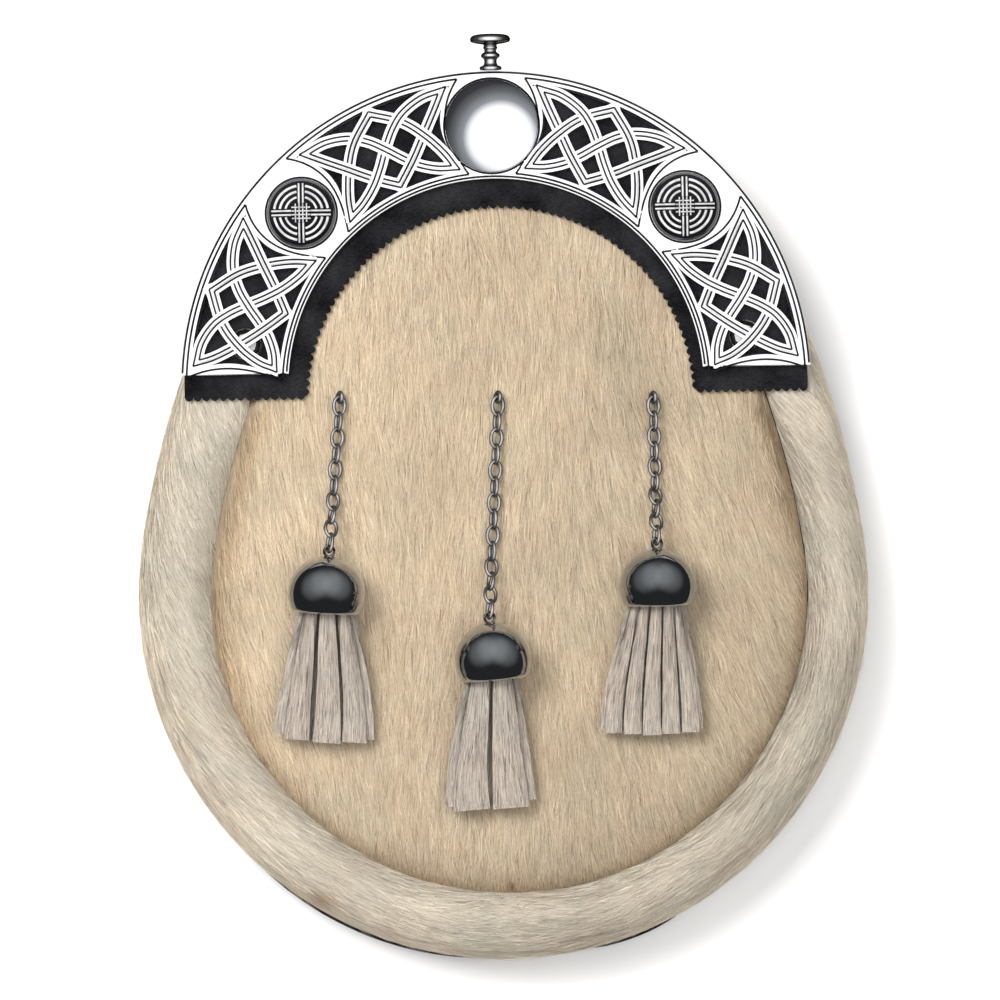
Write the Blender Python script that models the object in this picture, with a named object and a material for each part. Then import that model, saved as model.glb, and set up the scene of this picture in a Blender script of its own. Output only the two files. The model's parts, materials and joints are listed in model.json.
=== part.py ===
"""Dress sporran: a round hide pouch with a padded rim, a pierced metal cantle and three chained tassels.

Metres, +Z up. The pouch lies on its back: +X to the right as seen from the front, +Y towards the cantle and
+Z out of the front. The origin is at the bottom centre of the whole.
"""

import math

import bmesh
import bpy
import numpy as np
from mathutils import Matrix, Vector
from mathutils.bvhtree import BVHTree

MM = 0.001
GAP = 0.3 * MM
RIGHT_ANGLE = 90

# Pouch, seen from the front: a round body, a smaller round head behind the cantle, and a long arc between.
BODY_RADIUS = 98.7 * MM
SHOULDER_RADIUS = 250 * MM
HEAD_INSET = 4 * MM
FOOT_REACH = 15 * MM
STATION_COUNTS = (9, 4, 5)
OUTLINE_SAMPLE_COUNT = 721

# Pouch, from back to front.
BACK_THICKNESS = 2 * MM
BACK_STEP = 7.2 * MM
BACK_BEND_DROP = 42 * MM
BACK_BEND_LENGTH = 48 * MM
ROLL_CREST = 35 * MM
ROLL_WIDTH = 17.8 * MM
ROLL_SWING = 1.5 * MM
EDGE_INSET = 1 * MM
PANEL_THICKNESS = 2 * MM
PANEL_CREST = 37.5 * MM
PANEL_CENTRE_RISE = 12 * MM
SEAT_HEIGHT = 33 * MM
PRESS_START = 3 * MM
PRESS_RUN = 24 * MM
CREASE = 0.82

# Padded rim, from the foot round the outside: (inset as a share of its width, height as a share of the side).
GUSSET_PROFILE = (
    (0.47, 0.00),
    (0.14, 0.00),
    (0.02, 0.18),
    (0.00, 0.44),
    (0.07, 0.70),
    (0.24, 0.90),
    (0.48, 0.99),
    (0.74, 0.99),
    (1.00, CREASE),
    (0.88, 0.72),
    (0.38, 0.64),
    (0.19, 0.30),
    (0.47, 0.08),
)

# Front panel: (share of the way from crease to centre, share of the rise from crease to crest).
PANEL_RINGS = (
    (0.00, 0.00),
    (0.03, 0.42),
    (0.10, 0.78),
    (0.22, 0.94),
    (0.40, 0.99),
    (0.70, 1.00),
)

# Cantle: a flat half ring with four pierced panels. Angles are in degrees from its top.
CANTLE_RADIUS = 85 * MM
CANTLE_INNER_RADIUS = 56 * MM
CANTLE_RISE = 56.3 * MM
CANTLE_SHIFT = 2.0 * MM
CANTLE_TURN = 1.0
CANTLE_FOOT = 4.3 * MM
CANTLE_THICKNESS = 2 * MM
CANTLE_SEGMENTS = 40
RELIEF = 0.5 * MM
OPENING_MARGIN = 3.1 * MM
OPENING_STEPS = 5
WEB_WIDTH = 3.2 * MM
STRAND_POINTS = 5
CURVE_STEPS = 6

# Pierced panels: (angle of the far corners, bow of the far side), the near side bowing round the boss.
PANELS = (
    (7.8, 3.7),
    (86.0, -2.3),
)
NEAR_CORNER_INNER = 6.1
NEAR_CORNER_OUTER = 7.2
NEAR_BOW = 3.9

# Knot: (share along the panel from the boss, share across it from the inner edge). Both strands are mirrored.
SIDE_STRAND = (
    (0.035, 0.965),
    (0.040, 0.760),
    (0.130, 0.520),
    (0.300, 0.270),
    (0.510, 0.030),
)
DIAGONAL_STRAND = (
    (0.965, 0.965),
    (0.840, 0.930),
    (0.720, 0.830),
    (0.620, 0.690),
    (0.510, 0.510),
    (0.400, 0.330),
    (0.290, 0.180),
    (0.165, 0.075),
    (0.035, 0.035),
)

# Leather behind the cantle, with a pinked edge.
LEATHER_THICKNESS = 1.5 * MM
LEATHER_EDGE = 0.9 * MM
LEATHER_DROP = 6 * MM
LEATHER_OPENING_RADIUS = 52.8 * MM
LEATHER_OPENING_SHIFT = 1.2 * MM
LEATHER_OPENING_DROP = 3.8 * MM
LEATHER_SEGMENTS = 30
TOOTH_PITCH = 2.6 * MM
TOOTH_DEPTH = 1 * MM

# Bosses, disc, rivets and knob on the cantle.
BOSS_ANGLE = 47.4
BOSS_FROM_CENTRE = 70.2 * MM
BOSS_RADIUS = 9.3 * MM
BOSS_HEIGHT = 4.2 * MM
BOSS_SIDES = 16
CROSS_WIDTH = 1.5 * MM
CROSS_REACH = 0.9
CROSS_FOOT = 0.2
CROSS_HEIGHT = 0.45 * MM
DISC_RADIUS = 12.5 * MM
DISC_HEIGHT = 1.8 * MM
DISC_SIDES = 24
RIVET_RADIUS = 4 * MM
STUD_SIDES = 12
RIVET_ANGLE = 79.4
RIVET_FROM_CENTRE = 68.5 * MM
KNOB_RADIUS = 5.4 * MM
KNOB_HEIGHT = 9.7 * MM

# Boss, disc and knob outlines: (radius share, height share).
BOSS_PROFILE = (
    (1.00, 0.00),
    (1.00, 0.24),
    (0.88, 0.32),
    (0.82, 0.58),
    (0.70, 0.62),
    (0.62, 0.84),
    (0.50, 0.84),
    (0.36, 1.00),
)
DISC_PROFILE = (
    (1.00, 0.00),
    (1.00, 0.45),
    (0.90, 0.80),
    (0.55, 1.00),
)
RIVET_PROFILE = (
    (1.00, 0.00),
    (1.00, 0.45),
    (0.70, 1.00),
)
KNOB_PROFILE = (
    (0.53, 0.00),
    (0.53, 0.08),
    (0.36, 0.14),
    (0.32, 0.28),
    (0.46, 0.40),
    (0.31, 0.50),
    (0.36, 0.62),
    (0.32, 0.71),
    (0.84, 0.75),
    (1.00, 0.84),
    (0.92, 0.95),
    (0.60, 1.00),
)
KNOB_SIDES = 12

# Tassels: each has a ball cap, cut open below, and a skirt of hide strips.
CAP_RADIUS = 10.4 * MM
CAP_OPEN_DROP = 5.2 * MM
CAP_WALL = 1 * MM
CAP_SIDES = 12
CAP_CROWN_ANGLE = 72
CAP_HOLLOW_ANGLE = 55
CAP_OUTER_STEPS = 6
CAP_INNER_STEPS = 3
SKIRT_LENGTH = 34.6 * MM
SKIRT_HALF_WIDTH = 11.7 * MM
SKIRT_RISE = 8.3 * MM
HEAD_CLEARANCE = 0.5 * MM
HEAD_SIDES = 12
STRIP_WIDTH = 6.4 * MM
STRIP_THICKNESS = 1.8 * MM
STRIP_START = 0.68

# Tassels: (name, share of the body's radius to the right, lean of the chain in degrees, lean of the cap,
# sway of the hem to the right in mm, slack of each link in mm, share of the skirt's width).
TASSELS = (
    ("left", -0.447, -3.6, -3.6, 1.6, 0.00, 1.03),
    ("centre", -0.015, -2.2, 5.0, -3.9, 0.00, 0.90),
    ("right", 0.409, 1.1, 1.1, -2.2, 0.23, 1.06),
)
CHAIN_LENGTHS = {"left": 43.6 * MM, "centre": 61 * MM, "right": 41.3 * MM}
CHAIN_TOP_DROP = 3.0 * MM

# Strips: (turn round the head in degrees from the front, place across the hem, layer at the hem, share of
# the full width, share of the full length).
FRONT_STRIPS = {
    "left": ((-48, -0.60, 0.52, 1.02, 0.990), (0, 0.07, 0.60, 1.15, 1.000), (50, 0.68, 0.50, 1.00, 0.985)),
    "centre": ((-27, -0.50, 0.56, 1.50, 0.992), (27, 0.50, 0.56, 1.50, 1.000)),
    "right": (
        (-64, -0.84, 0.46, 0.72, 0.980),
        (-32, -0.42, 0.54, 0.74, 0.990),
        (0, 0.00, 0.60, 0.76, 1.000),
        (32, 0.42, 0.54, 0.74, 0.992),
        (64, 0.84, 0.46, 0.72, 0.984),
    ),
}
REAR_STRIPS = (
    (100, 0.90, 0.30, 0.80, 0.955),
    (148, 0.45, 0.10, 1.00, 0.990),
    (-172, -0.12, 0.08, 1.00, 0.995),
    (-130, -0.62, 0.12, 0.95, 0.965),
    (-92, -0.92, 0.32, 0.75, 0.955),
)
STRIP_SECTIONS = (0.0, 0.4, 1.0)

# Chains: oval links, each through the next, from a staple on the panel to the eye of a cap.
LINK_LENGTH = 6.1 * MM
LINK_WIDTH = 4.2 * MM
LINK_WIRE = 0.72 * MM
LINK_SEGMENTS = 10
WIRE_SIDES = 5
LINK_TURN = 25
EYE_RADIUS = 1.45 * MM
EYE_WIRE = 0.8 * MM
EYE_SINK = 0.6 * MM
STAPLE_BASE_RADIUS = 1.1 * MM
STAPLE_BASE_SIDES = 8
CHAIN_RISE_RUN = 17 * MM
CHAIN_STEPS = 60
SEATING_ROUNDS = 4

# Back: a mouth closed by a flap with a press stud, and two belt loops.
MOUTH_WIDTH = 68 * MM
MOUTH_HEIGHT = 14 * MM
MOUTH_RISE = 29 * MM
FLAP_WIDTH = 80 * MM
FLAP_HEIGHT = 34 * MM
FLAP_ABOVE_MOUTH = 9 * MM
FLAP_CORNER = 8 * MM
FLAP_THICKNESS = 2 * MM
CORNER_STEPS = 3
STUD_RADIUS = 5 * MM
STUD_HEIGHT = 1.8 * MM
LOOP_SPREAD = 54 * MM
LOOP_WIDTH = 18 * MM
LOOP_LENGTH = 34 * MM
LOOP_PAD = 4.5 * MM
LOOP_SLOPE = 3.5 * MM

HEAD_RADIUS = CANTLE_RADIUS - HEAD_INSET
SEAT_TOP = SEAT_HEIGHT + LEATHER_THICKNESS + GAP
CANTLE_TOP = SEAT_TOP + CANTLE_THICKNESS
KNOB_TOP = CANTLE_RADIUS + GAP + KNOB_HEIGHT
HIGHEST = CANTLE_RISE + KNOB_TOP * math.cos(math.radians(CANTLE_TURN))
BODY_Y = (BODY_RADIUS - HIGHEST) / 2
CANTLE_Y = BODY_Y + CANTLE_RISE


def material(name, colour, roughness, metallic):
    """A Principled material of one colour."""
    made = bpy.data.materials.new(name)
    made.use_nodes = True
    shader = made.node_tree.nodes["Principled BSDF"]
    shader.inputs["Base Color"].default_value = (*colour, 1)
    shader.inputs["Roughness"].default_value = roughness
    shader.inputs["Metallic"].default_value = metallic
    return made


def add_object(name, bm, finish, parent=None, smooth_angle=35):
    """A named object from a bmesh, with its finish and, where given, its parent."""
    mesh = bpy.data.meshes.new(name)
    bm.to_mesh(mesh)
    bm.free()
    mesh.materials.append(finish)
    mesh.shade_smooth()
    mesh.set_sharp_from_angle(angle=math.radians(smooth_angle))
    made = bpy.data.objects.new(name, mesh)
    bpy.context.scene.collection.objects.link(made)
    made.parent = parent
    return made


def add_empty(name, location, turn=0.0):
    """An empty that carries a group, turned in degrees about Z."""
    made = bpy.data.objects.new(name, None)
    made.location = location
    made.rotation_euler.z = math.radians(turn)
    bpy.context.scene.collection.objects.link(made)
    return made


def cut(target, cutter, operation="DIFFERENCE"):
    """Leaves a Boolean on the target, with the cutter hidden from renders."""
    cutter.hide_render = True
    cutter.display_type = "WIRE"
    boolean = target.modifiers.new(cutter.name, "BOOLEAN")
    boolean.operation = operation
    boolean.solver = "EXACT"
    boolean.object = cutter


def loft(rings, closed=False):
    """A closed bmesh through rings of as many points each, capped at both ends unless it closes on itself."""
    bm = bmesh.new()
    loops = [[bm.verts.new(point) for point in ring] for ring in rings]
    for near, far in zip(loops, loops[1:] + loops[:1] if closed else loops[1:]):
        for i, corner in enumerate(near):
            j = (i + 1) % len(near)
            bm.faces.new((corner, near[j], far[j], far[i]))
    if not closed:
        bm.faces.new(loops[0][::-1])
        bm.faces.new(loops[-1])
    bmesh.ops.recalc_face_normals(bm, faces=bm.faces)
    return bm


def turned(profile, sides):
    """A turned solid about Z from (radius, height) rows, with flat ends."""
    angles = [2 * math.pi * i / sides for i in range(sides)]
    return loft([[(r * math.cos(a), r * math.sin(a), z) for a in angles] for r, z in profile])


def plate(outline, low, high):
    """A flat plate of any outline between two heights."""
    return loft([[(x, y, z) for x, y in outline] for z in (low, high)])


def shares(profile, radius, height):
    """A profile of shares as real radii and heights."""
    return [(r * radius, z * height) for r, z in profile]


def smoothstep(value):
    value = min(max(value, 0.0), 1.0)
    return value * value * (3 - 2 * value)


def polar(radius, angle):
    """A point of the cantle's frame, its angle in degrees from the top towards +X."""
    return radius * math.sin(math.radians(angle)), radius * math.cos(math.radians(angle))


def smooth_curve(points):
    """Points of a Catmull-Rom curve through the given ones."""
    points = [Vector(point) for point in points]
    points = [2 * points[0] - points[1], *points, 2 * points[-1] - points[-2]]
    made = []
    for a, b, c, d in zip(points, points[1:], points[2:], points[3:]):
        for step in range(CURVE_STEPS):
            t = step / CURVE_STEPS
            square = (2 * a - 5 * b + 4 * c - d) * t**2
            cube = (3 * b - a - 3 * c + d) * t**3
            made.append(0.5 * (2 * b + (c - a) * t + square + cube))
    return made + [points[-2]]


def thinned(points, count):
    """The given number of points spread evenly along a dense curve."""
    lengths = np.concatenate([[0], np.cumsum([(b - a).length for a, b in zip(points, points[1:])])])
    even = np.linspace(0, lengths[-1], count)
    return np.stack([np.interp(even, lengths, [p[axis] for p in points]) for axis in range(2)], axis=1)


def shoulder():
    """The right shoulder arc's centre, and the angles of its normal where it meets the body and the head."""
    to_body = SHOULDER_RADIUS - BODY_RADIUS
    to_head = SHOULDER_RADIUS - HEAD_RADIUS
    up = (to_body**2 - to_head**2 + CANTLE_RISE**2) / (2 * CANTLE_RISE)
    centre = Vector((-math.sqrt(to_body**2 - up**2), up))
    low = math.atan2(-centre.y, -centre.x)
    high = math.atan2(CANTLE_RISE - centre.y, -centre.x)
    return centre, low, high


def outline_point(normal, inset):
    """The point of the pouch's outline whose outward normal has this angle, moved inwards."""
    arc, low, high = shoulder()
    folded = math.asin(math.sin(normal))
    if folded < low:
        centre, radius = Vector((0, 0)), BODY_RADIUS
    elif folded > high:
        centre, radius = Vector((0, CANTLE_RISE)), HEAD_RADIUS
    else:
        centre, radius = arc.copy(), SHOULDER_RADIUS
    if math.cos(normal) < 0:
        centre.x = -centre.x
    point = centre + (radius - inset) * Vector((math.cos(normal), math.sin(normal)))
    return point.x, point.y + BODY_Y


def station_normals():
    """The outward normals at the stations round the pouch, closest together beside the cantle's feet."""
    dense = np.linspace(-math.pi / 2, math.pi / 2, OUTLINE_SAMPLE_COUNT)
    points = np.array([outline_point(normal, 0) for normal in dense])
    length = np.concatenate([[0], np.cumsum(np.hypot(*np.diff(points, axis=0).T))])
    heights = (CANTLE_Y - CANTLE_FOOT - FOOT_REACH, CANTLE_Y + CANTLE_FOOT)
    marks = [0, *(length[np.searchsorted(points[:, 1], height)] for height in heights), length[-1]]
    runs = [
        np.linspace(low, high, count, endpoint=False)
        for low, high, count in zip(marks, marks[1:], STATION_COUNTS)
    ]
    right = np.interp(np.concatenate([*runs, [length[-1]]]), length, dense)
    return [*right, *(math.pi - right[-2:0:-1])]


def roll_width(normal):
    """The rim's width as seen from the front, a little wider on the left."""
    return ROLL_WIDTH - ROLL_SWING * math.cos(normal)


def back_bend(y):
    """The height of the back's underside: flat on the surface below, stepped up behind the cantle."""
    return BACK_STEP * smoothstep((y - CANTLE_Y + BACK_BEND_DROP) / BACK_BEND_LENGTH)


class Pouch:
    """The stations round the pouch, and the heights that neighbours share."""

    def __init__(self):
        self.normals = station_normals()
        self.rows = sorted({round(outline_point(normal, EDGE_INSET)[1], 9) for normal in self.normals})

    def back(self, y):
        """The underside of the back panel, straight between its rows."""
        return float(np.interp(y, self.rows, [back_bend(row) for row in self.rows]))

    def ring(self, inset_of):
        return [outline_point(normal, inset_of(normal)) for normal in self.normals]


def pressed(x, y, height):
    """A height of the front, held down where the cantle's leather sits on it."""
    across = x + CANTLE_SHIFT - LEATHER_OPENING_SHIFT
    opening = LEATHER_OPENING_RADIUS - TOOTH_DEPTH
    tilt_drop = CANTLE_RADIUS * math.sin(math.radians(CANTLE_TURN))
    foot = CANTLE_Y + CANTLE_FOOT - LEATHER_DROP - TOOTH_DEPTH - tilt_drop
    if y >= foot:
        clear = opening - math.hypot(across, y - CANTLE_Y + LEATHER_OPENING_DROP)
    else:
        clear = math.hypot(max(opening - abs(across), 0), foot - y)
    rise = smoothstep((clear - PRESS_START) / PRESS_RUN)
    limit = SEAT_HEIGHT - GAP
    return min(height, limit + (PANEL_CREST - limit) * rise)


def rim_gusset(pouch, hide):
    """The padded rim: one section swept round the outline, from the back seam over the roll to the crease."""
    rings = []
    for normal in pouch.normals:
        ring = []
        for inset, height in GUSSET_PROFILE:
            x, y = outline_point(normal, inset * roll_width(normal))
            base = pouch.back(y) + BACK_THICKNESS + GAP
            ring.append((x, y, pressed(x, y, base + height * (ROLL_CREST - base))))
        rings.append(ring)
    return add_object("rim_gusset", loft(rings, closed=True), hide)


def front_panel(pouch, hide):
    """The front: a crowned sheet set inside the rim, held down under the cantle."""
    centre = Vector((0, BODY_Y + PANEL_CENTRE_RISE))
    edge = [Vector(point) for point in pouch.ring(lambda normal: roll_width(normal) + GAP)]
    base = BACK_THICKNESS + GAP
    crease = base + CREASE * (ROLL_CREST - base)
    top = []
    for inward, rise in PANEL_RINGS:
        ring = []
        for point in edge:
            x, y = point.lerp(centre, inward)
            ring.append((x, y, pressed(x, y, crease + rise * (PANEL_CREST - crease))))
        top.append(ring)
    bottom = [[(x, y, z - PANEL_THICKNESS) for x, y, z in ring] for ring in [*top[::2], top[-1]]]
    return add_object("front_panel", loft(top[::-1] + bottom), hide)


def back_panel(pouch, leather):
    """The back: one sheet, straight across in rows, with a mouth cut through it."""
    edge = pouch.ring(lambda normal: EDGE_INSET)
    half = len(edge) // 2
    bm = bmesh.new()
    layers = []
    for lift in (0, BACK_THICKNESS):
        layers.append([bm.verts.new((x, y, pouch.back(y) + lift)) for x, y in edge])
    low, high = layers
    for i in range(half):
        mirror = -i % len(edge)
        for layer in layers:
            corners = (layer[i], layer[i + 1], layer[mirror - 1], layer[mirror])
            bm.faces.new(dict.fromkeys(corners))
    for i in range(len(edge)):
        bm.faces.new((low[i - 1], low[i], high[i], high[i - 1]))
    bmesh.ops.recalc_face_normals(bm, faces=bm.faces)
    panel = add_object("back_panel", bm, leather)
    middle = CANTLE_Y + MOUTH_RISE
    corners = rounded_box(MOUTH_WIDTH, MOUTH_HEIGHT, MOUTH_HEIGHT / 2 - GAP)
    bite = plate([(x, y + middle) for x, y in corners], BACK_STEP / 2, BACK_STEP + 2 * BACK_THICKNESS)
    cut(panel, add_object("mouth_cutter", bite, leather))


def rounded_box(width, height, radius):
    """The outline of a box with round corners, about the origin."""
    points = []
    for quarter in range(4):
        x = (width / 2 - radius) * (1 if quarter in (0, 3) else -1)
        y = (height / 2 - radius) * (1 if quarter in (0, 1) else -1)
        for step in range(CORNER_STEPS + 1):
            angle = math.pi / 2 * (quarter + step / CORNER_STEPS)
            points.append((x + radius * math.cos(angle), y + radius * math.sin(angle)))
    return points


def back_flap(leather, metal):
    """The flap over the mouth, with its press stud."""
    top = CANTLE_Y + MOUTH_RISE + MOUTH_HEIGHT / 2 + FLAP_ABOVE_MOUTH
    middle = top - FLAP_HEIGHT / 2
    high = BACK_STEP - GAP
    corners = rounded_box(FLAP_WIDTH, FLAP_HEIGHT, FLAP_CORNER)
    sheet = plate([(x, y + middle) for x, y in corners], high - FLAP_THICKNESS, high)
    add_object("back_flap", sheet, leather)
    stud = add_object("flap_stud", turned(shares(RIVET_PROFILE, STUD_RADIUS, STUD_HEIGHT), STUD_SIDES), metal)
    stud.location = (0, top - FLAP_HEIGHT + FLAP_CORNER, high - FLAP_THICKNESS - GAP)
    stud.rotation_euler.x = math.pi


def belt_loop(name, x, leather):
    """A strap bent into a loop under the back, flat on the surface between its two sewn ends."""
    low, high = 0, BACK_STEP - GAP
    start = CANTLE_Y + MOUTH_RISE - LOOP_LENGTH / 2
    thick = BACK_THICKNESS
    section = (
        (0, high - thick),
        (LOOP_PAD, high - thick),
        (LOOP_PAD + LOOP_SLOPE, low),
        (LOOP_LENGTH - LOOP_PAD - LOOP_SLOPE, low),
        (LOOP_LENGTH - LOOP_PAD, high - thick),
        (LOOP_LENGTH, high - thick),
        (LOOP_LENGTH, high),
        (LOOP_LENGTH - LOOP_PAD - thick / 2, high),
        (LOOP_LENGTH - LOOP_PAD - LOOP_SLOPE - thick / 2, low + thick),
        (LOOP_PAD + LOOP_SLOPE + thick / 2, low + thick),
        (LOOP_PAD + thick / 2, high),
        (0, high),
    )
    sides = (x - LOOP_WIDTH / 2, x + LOOP_WIDTH / 2)
    rings = [[(side, start + along, z) for along, z in section] for side in sides]
    return add_object(name, loft(rings), leather)


def panel_point(panel, side, along, across):
    """A point of a pierced panel, from its shares along and across, on the left (-1) or right (1)."""
    far, far_bow = PANELS[panel]
    towards = -1 if panel == 0 else 1
    bow = 4 * across * (1 - across)
    corner = NEAR_CORNER_INNER + (NEAR_CORNER_OUTER - NEAR_CORNER_INNER) * across
    near_angle = BOSS_ANGLE + towards * (corner + NEAR_BOW * bow)
    far_angle = far + far_bow * bow
    inner = CANTLE_INNER_RADIUS + OPENING_MARGIN
    outer = CANTLE_RADIUS - OPENING_MARGIN
    return polar(inner + (outer - inner) * across, side * (near_angle + (far_angle - near_angle) * along))


def panel_outline(panel, side):
    """The opening of one pierced panel: two arcs and two bowed sides."""
    steps = [i / OPENING_STEPS for i in range(OPENING_STEPS)]
    corners = [(s, 0) for s in steps] + [(1, s) for s in steps]
    corners += [(1 - s, 1) for s in steps] + [(0, 1 - s) for s in steps]
    return [panel_point(panel, side, along, across) for along, across in corners]


def knot_strands():
    """The six strands of the knot as shares of a panel: two shapes, mirrored."""
    for flip_along in (False, True):
        for flip_across in (False, True):
            yield [
                (1 - along if flip_along else along, 1 - across if flip_across else across)
                for along, across in SIDE_STRAND
            ]
    yield list(DIAGONAL_STRAND)
    yield [(along, 1 - across) for along, across in DIAGONAL_STRAND]


def ribbon(points, width, low, high):
    """A flat band of one width along a curve."""
    tangents = np.gradient(points, axis=0)
    tangents /= np.linalg.norm(tangents, axis=1, keepdims=True)
    across = np.stack([-tangents[:, 1], tangents[:, 0]], axis=1) * width / 2
    left, right = points + across, points - across
    rings = [[(*b, low), (*a, low), (*a, high), (*b, high)] for a, b in zip(left, right)]
    return loft(rings)


def cantle_outline():
    """The half ring, cut straight a little above its centre line."""
    outer_end = math.degrees(math.acos(CANTLE_FOOT / CANTLE_RADIUS))
    inner_end = math.degrees(math.acos(CANTLE_FOOT / CANTLE_INNER_RADIUS))
    outer = [polar(CANTLE_RADIUS, a) for a in np.linspace(-outer_end, outer_end, CANTLE_SEGMENTS + 1)]
    inner = [polar(CANTLE_INNER_RADIUS, a) for a in np.linspace(inner_end, -inner_end, CANTLE_SEGMENTS + 1)]
    return outer + inner


def cantle(frame, metal):
    """The pierced plate: openings cut through it, and the raised knots laid across them."""
    base = add_object("cantle", plate(cantle_outline(), SEAT_TOP, CANTLE_TOP), metal, frame)
    for side in (-1, 1):
        for panel in range(len(PANELS)):
            name = f"knot_{'left' if side < 0 else 'right'}_{panel + 1}"
            hole = plate(panel_outline(panel, side), SEAT_TOP - RELIEF, CANTLE_TOP + RELIEF)
            cut(base, add_object(f"{name}_opening", hole, metal, frame))
            for number, strand in enumerate(knot_strands()):
                path = smooth_curve([(*panel_point(panel, side, *share), 0) for share in strand])
                path = thinned(path, STRAND_POINTS)
                bar = ribbon(path, WEB_WIDTH, SEAT_TOP, CANTLE_TOP + RELIEF)
                cut(base, add_object(f"{name}_strand_{number + 1}", bar, metal, frame), "UNION")


def tooth_count(length):
    """Twice the number of teeth along an edge: each tooth takes a point in and a point out."""
    return 2 * round(length / TOOTH_PITCH)


def foot_teeth(start, end, height):
    """The toothed foot between two corners, without the corners."""
    count = tooth_count(abs(end - start))
    return [(start + (end - start) * i / count, height - TOOTH_DEPTH * (i % 2)) for i in range(1, count)]


def leather_outline():
    """The backing's outline: a plain arc outside, and teeth round the opening and along both feet."""
    outer = CANTLE_RADIUS - LEATHER_EDGE
    foot = CANTLE_FOOT - LEATHER_DROP
    end = math.degrees(math.acos(foot / outer))
    edge = [polar(outer, angle) for angle in np.linspace(-end, end, LEATHER_SEGMENTS + 1)]
    opening = Vector((LEATHER_OPENING_SHIFT, -LEATHER_OPENING_DROP))
    reach = math.acos((foot - opening.y) / LEATHER_OPENING_RADIUS)
    half = LEATHER_OPENING_RADIUS * math.sin(reach)
    arch = []
    count = tooth_count(2 * reach * LEATHER_OPENING_RADIUS)
    for i in range(count + 1):
        angle = math.degrees(reach) * (1 - 2 * i / count)
        x, y = polar(LEATHER_OPENING_RADIUS - TOOTH_DEPTH * (i % 2), angle)
        arch.append((opening.x + x, opening.y + y))
    right_foot = foot_teeth(edge[-1][0], opening.x + half, foot)
    left_foot = foot_teeth(opening.x - half, edge[0][0], foot)
    return edge + right_foot + arch + left_foot


def cantle_leather(frame, leather):
    """The leather between the cantle and the pouch, with a hole for each rivet."""
    sheet = plate(leather_outline(), SEAT_HEIGHT, SEAT_HEIGHT + LEATHER_THICKNESS)
    backing = add_object("cantle_leather", sheet, leather, frame)
    wide = RIVET_RADIUS + GAP
    bore = turned([(wide, -LEATHER_THICKNESS), (wide, 2 * LEATHER_THICKNESS)], STUD_SIDES)
    for side, word in ((-1, "left"), (1, "right")):
        cutter = add_object(f"rivet_cutter_{word}", bore.copy(), leather, frame)
        cutter.location = (*polar(RIVET_FROM_CENTRE, side * RIVET_ANGLE), SEAT_HEIGHT)
        cut(backing, cutter)
    bore.free()


def cross():
    """Two crossed bars that divide a boss, as one outline of twelve corners."""
    half = CROSS_WIDTH / 2
    reach = CROSS_REACH * BOSS_RADIUS
    outline = []
    for turn in (0, 1, 2, 3):
        for x, y in ((reach, -half), (reach, half), (half, half)):
            outline.append(Vector((x, y)) @ Matrix.Rotation(-math.pi / 2 * turn, 2))
    return plate(outline, BOSS_HEIGHT * CROSS_FOOT, BOSS_HEIGHT + CROSS_HEIGHT)


def ornaments(frame, metals):
    """The two bosses, the rivet heads, the plain disc and the knob on the cantle."""
    bosses = turned(shares(BOSS_PROFILE, BOSS_RADIUS, BOSS_HEIGHT), BOSS_SIDES)
    rivets = turned(shares(RIVET_PROFILE, RIVET_RADIUS, LEATHER_THICKNESS), STUD_SIDES)
    for side, word in ((-1, "left"), (1, "right")):
        boss = add_object(f"boss_{word}", bosses.copy(), metals["dark"], frame)
        boss.location = (*polar(BOSS_FROM_CENTRE, side * BOSS_ANGLE), CANTLE_TOP + GAP)
        bars = add_object(f"boss_{word}_cross", cross(), metals["dark"], boss)
        cut(boss, bars, "UNION")
        rivet = add_object(f"rivet_{word}", rivets.copy(), metals["pale"], frame)
        rivet.location = (*polar(RIVET_FROM_CENTRE, side * RIVET_ANGLE), SEAT_HEIGHT + GAP / 2)
    bosses.free()
    rivets.free()
    rounded = turned(shares(DISC_PROFILE, DISC_RADIUS, DISC_HEIGHT), DISC_SIDES)
    disc = add_object("centre_disc", rounded, metals["chrome"], frame)
    disc.location = (0, BOSS_FROM_CENTRE, CANTLE_TOP + GAP)
    stem = turned(shares(KNOB_PROFILE, KNOB_RADIUS, KNOB_HEIGHT), KNOB_SIDES)
    knob = add_object("clasp_knob", stem, metals["dark"], frame)
    knob.location = (0, CANTLE_RADIUS + GAP, CANTLE_TOP - CANTLE_THICKNESS / 2)
    knob.rotation_euler.x = -math.pi / 2


def ring_band(radius_x, radius_y, wire):
    """A closed wire oval in the XY plane."""
    rings = []
    for i in range(LINK_SEGMENTS):
        angle = 2 * math.pi * i / LINK_SEGMENTS
        centre = Vector((radius_x * math.cos(angle), radius_y * math.sin(angle), 0))
        out = Vector((radius_y * math.cos(angle), radius_x * math.sin(angle), 0)).normalized()
        ring = []
        for side in range(WIRE_SIDES):
            turn = 2 * math.pi * side / WIRE_SIDES
            ring.append(centre + wire / 2 * (math.cos(turn) * out + Vector((0, 0, math.sin(turn)))))
        rings.append(ring)
    return loft(rings, closed=True)


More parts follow.
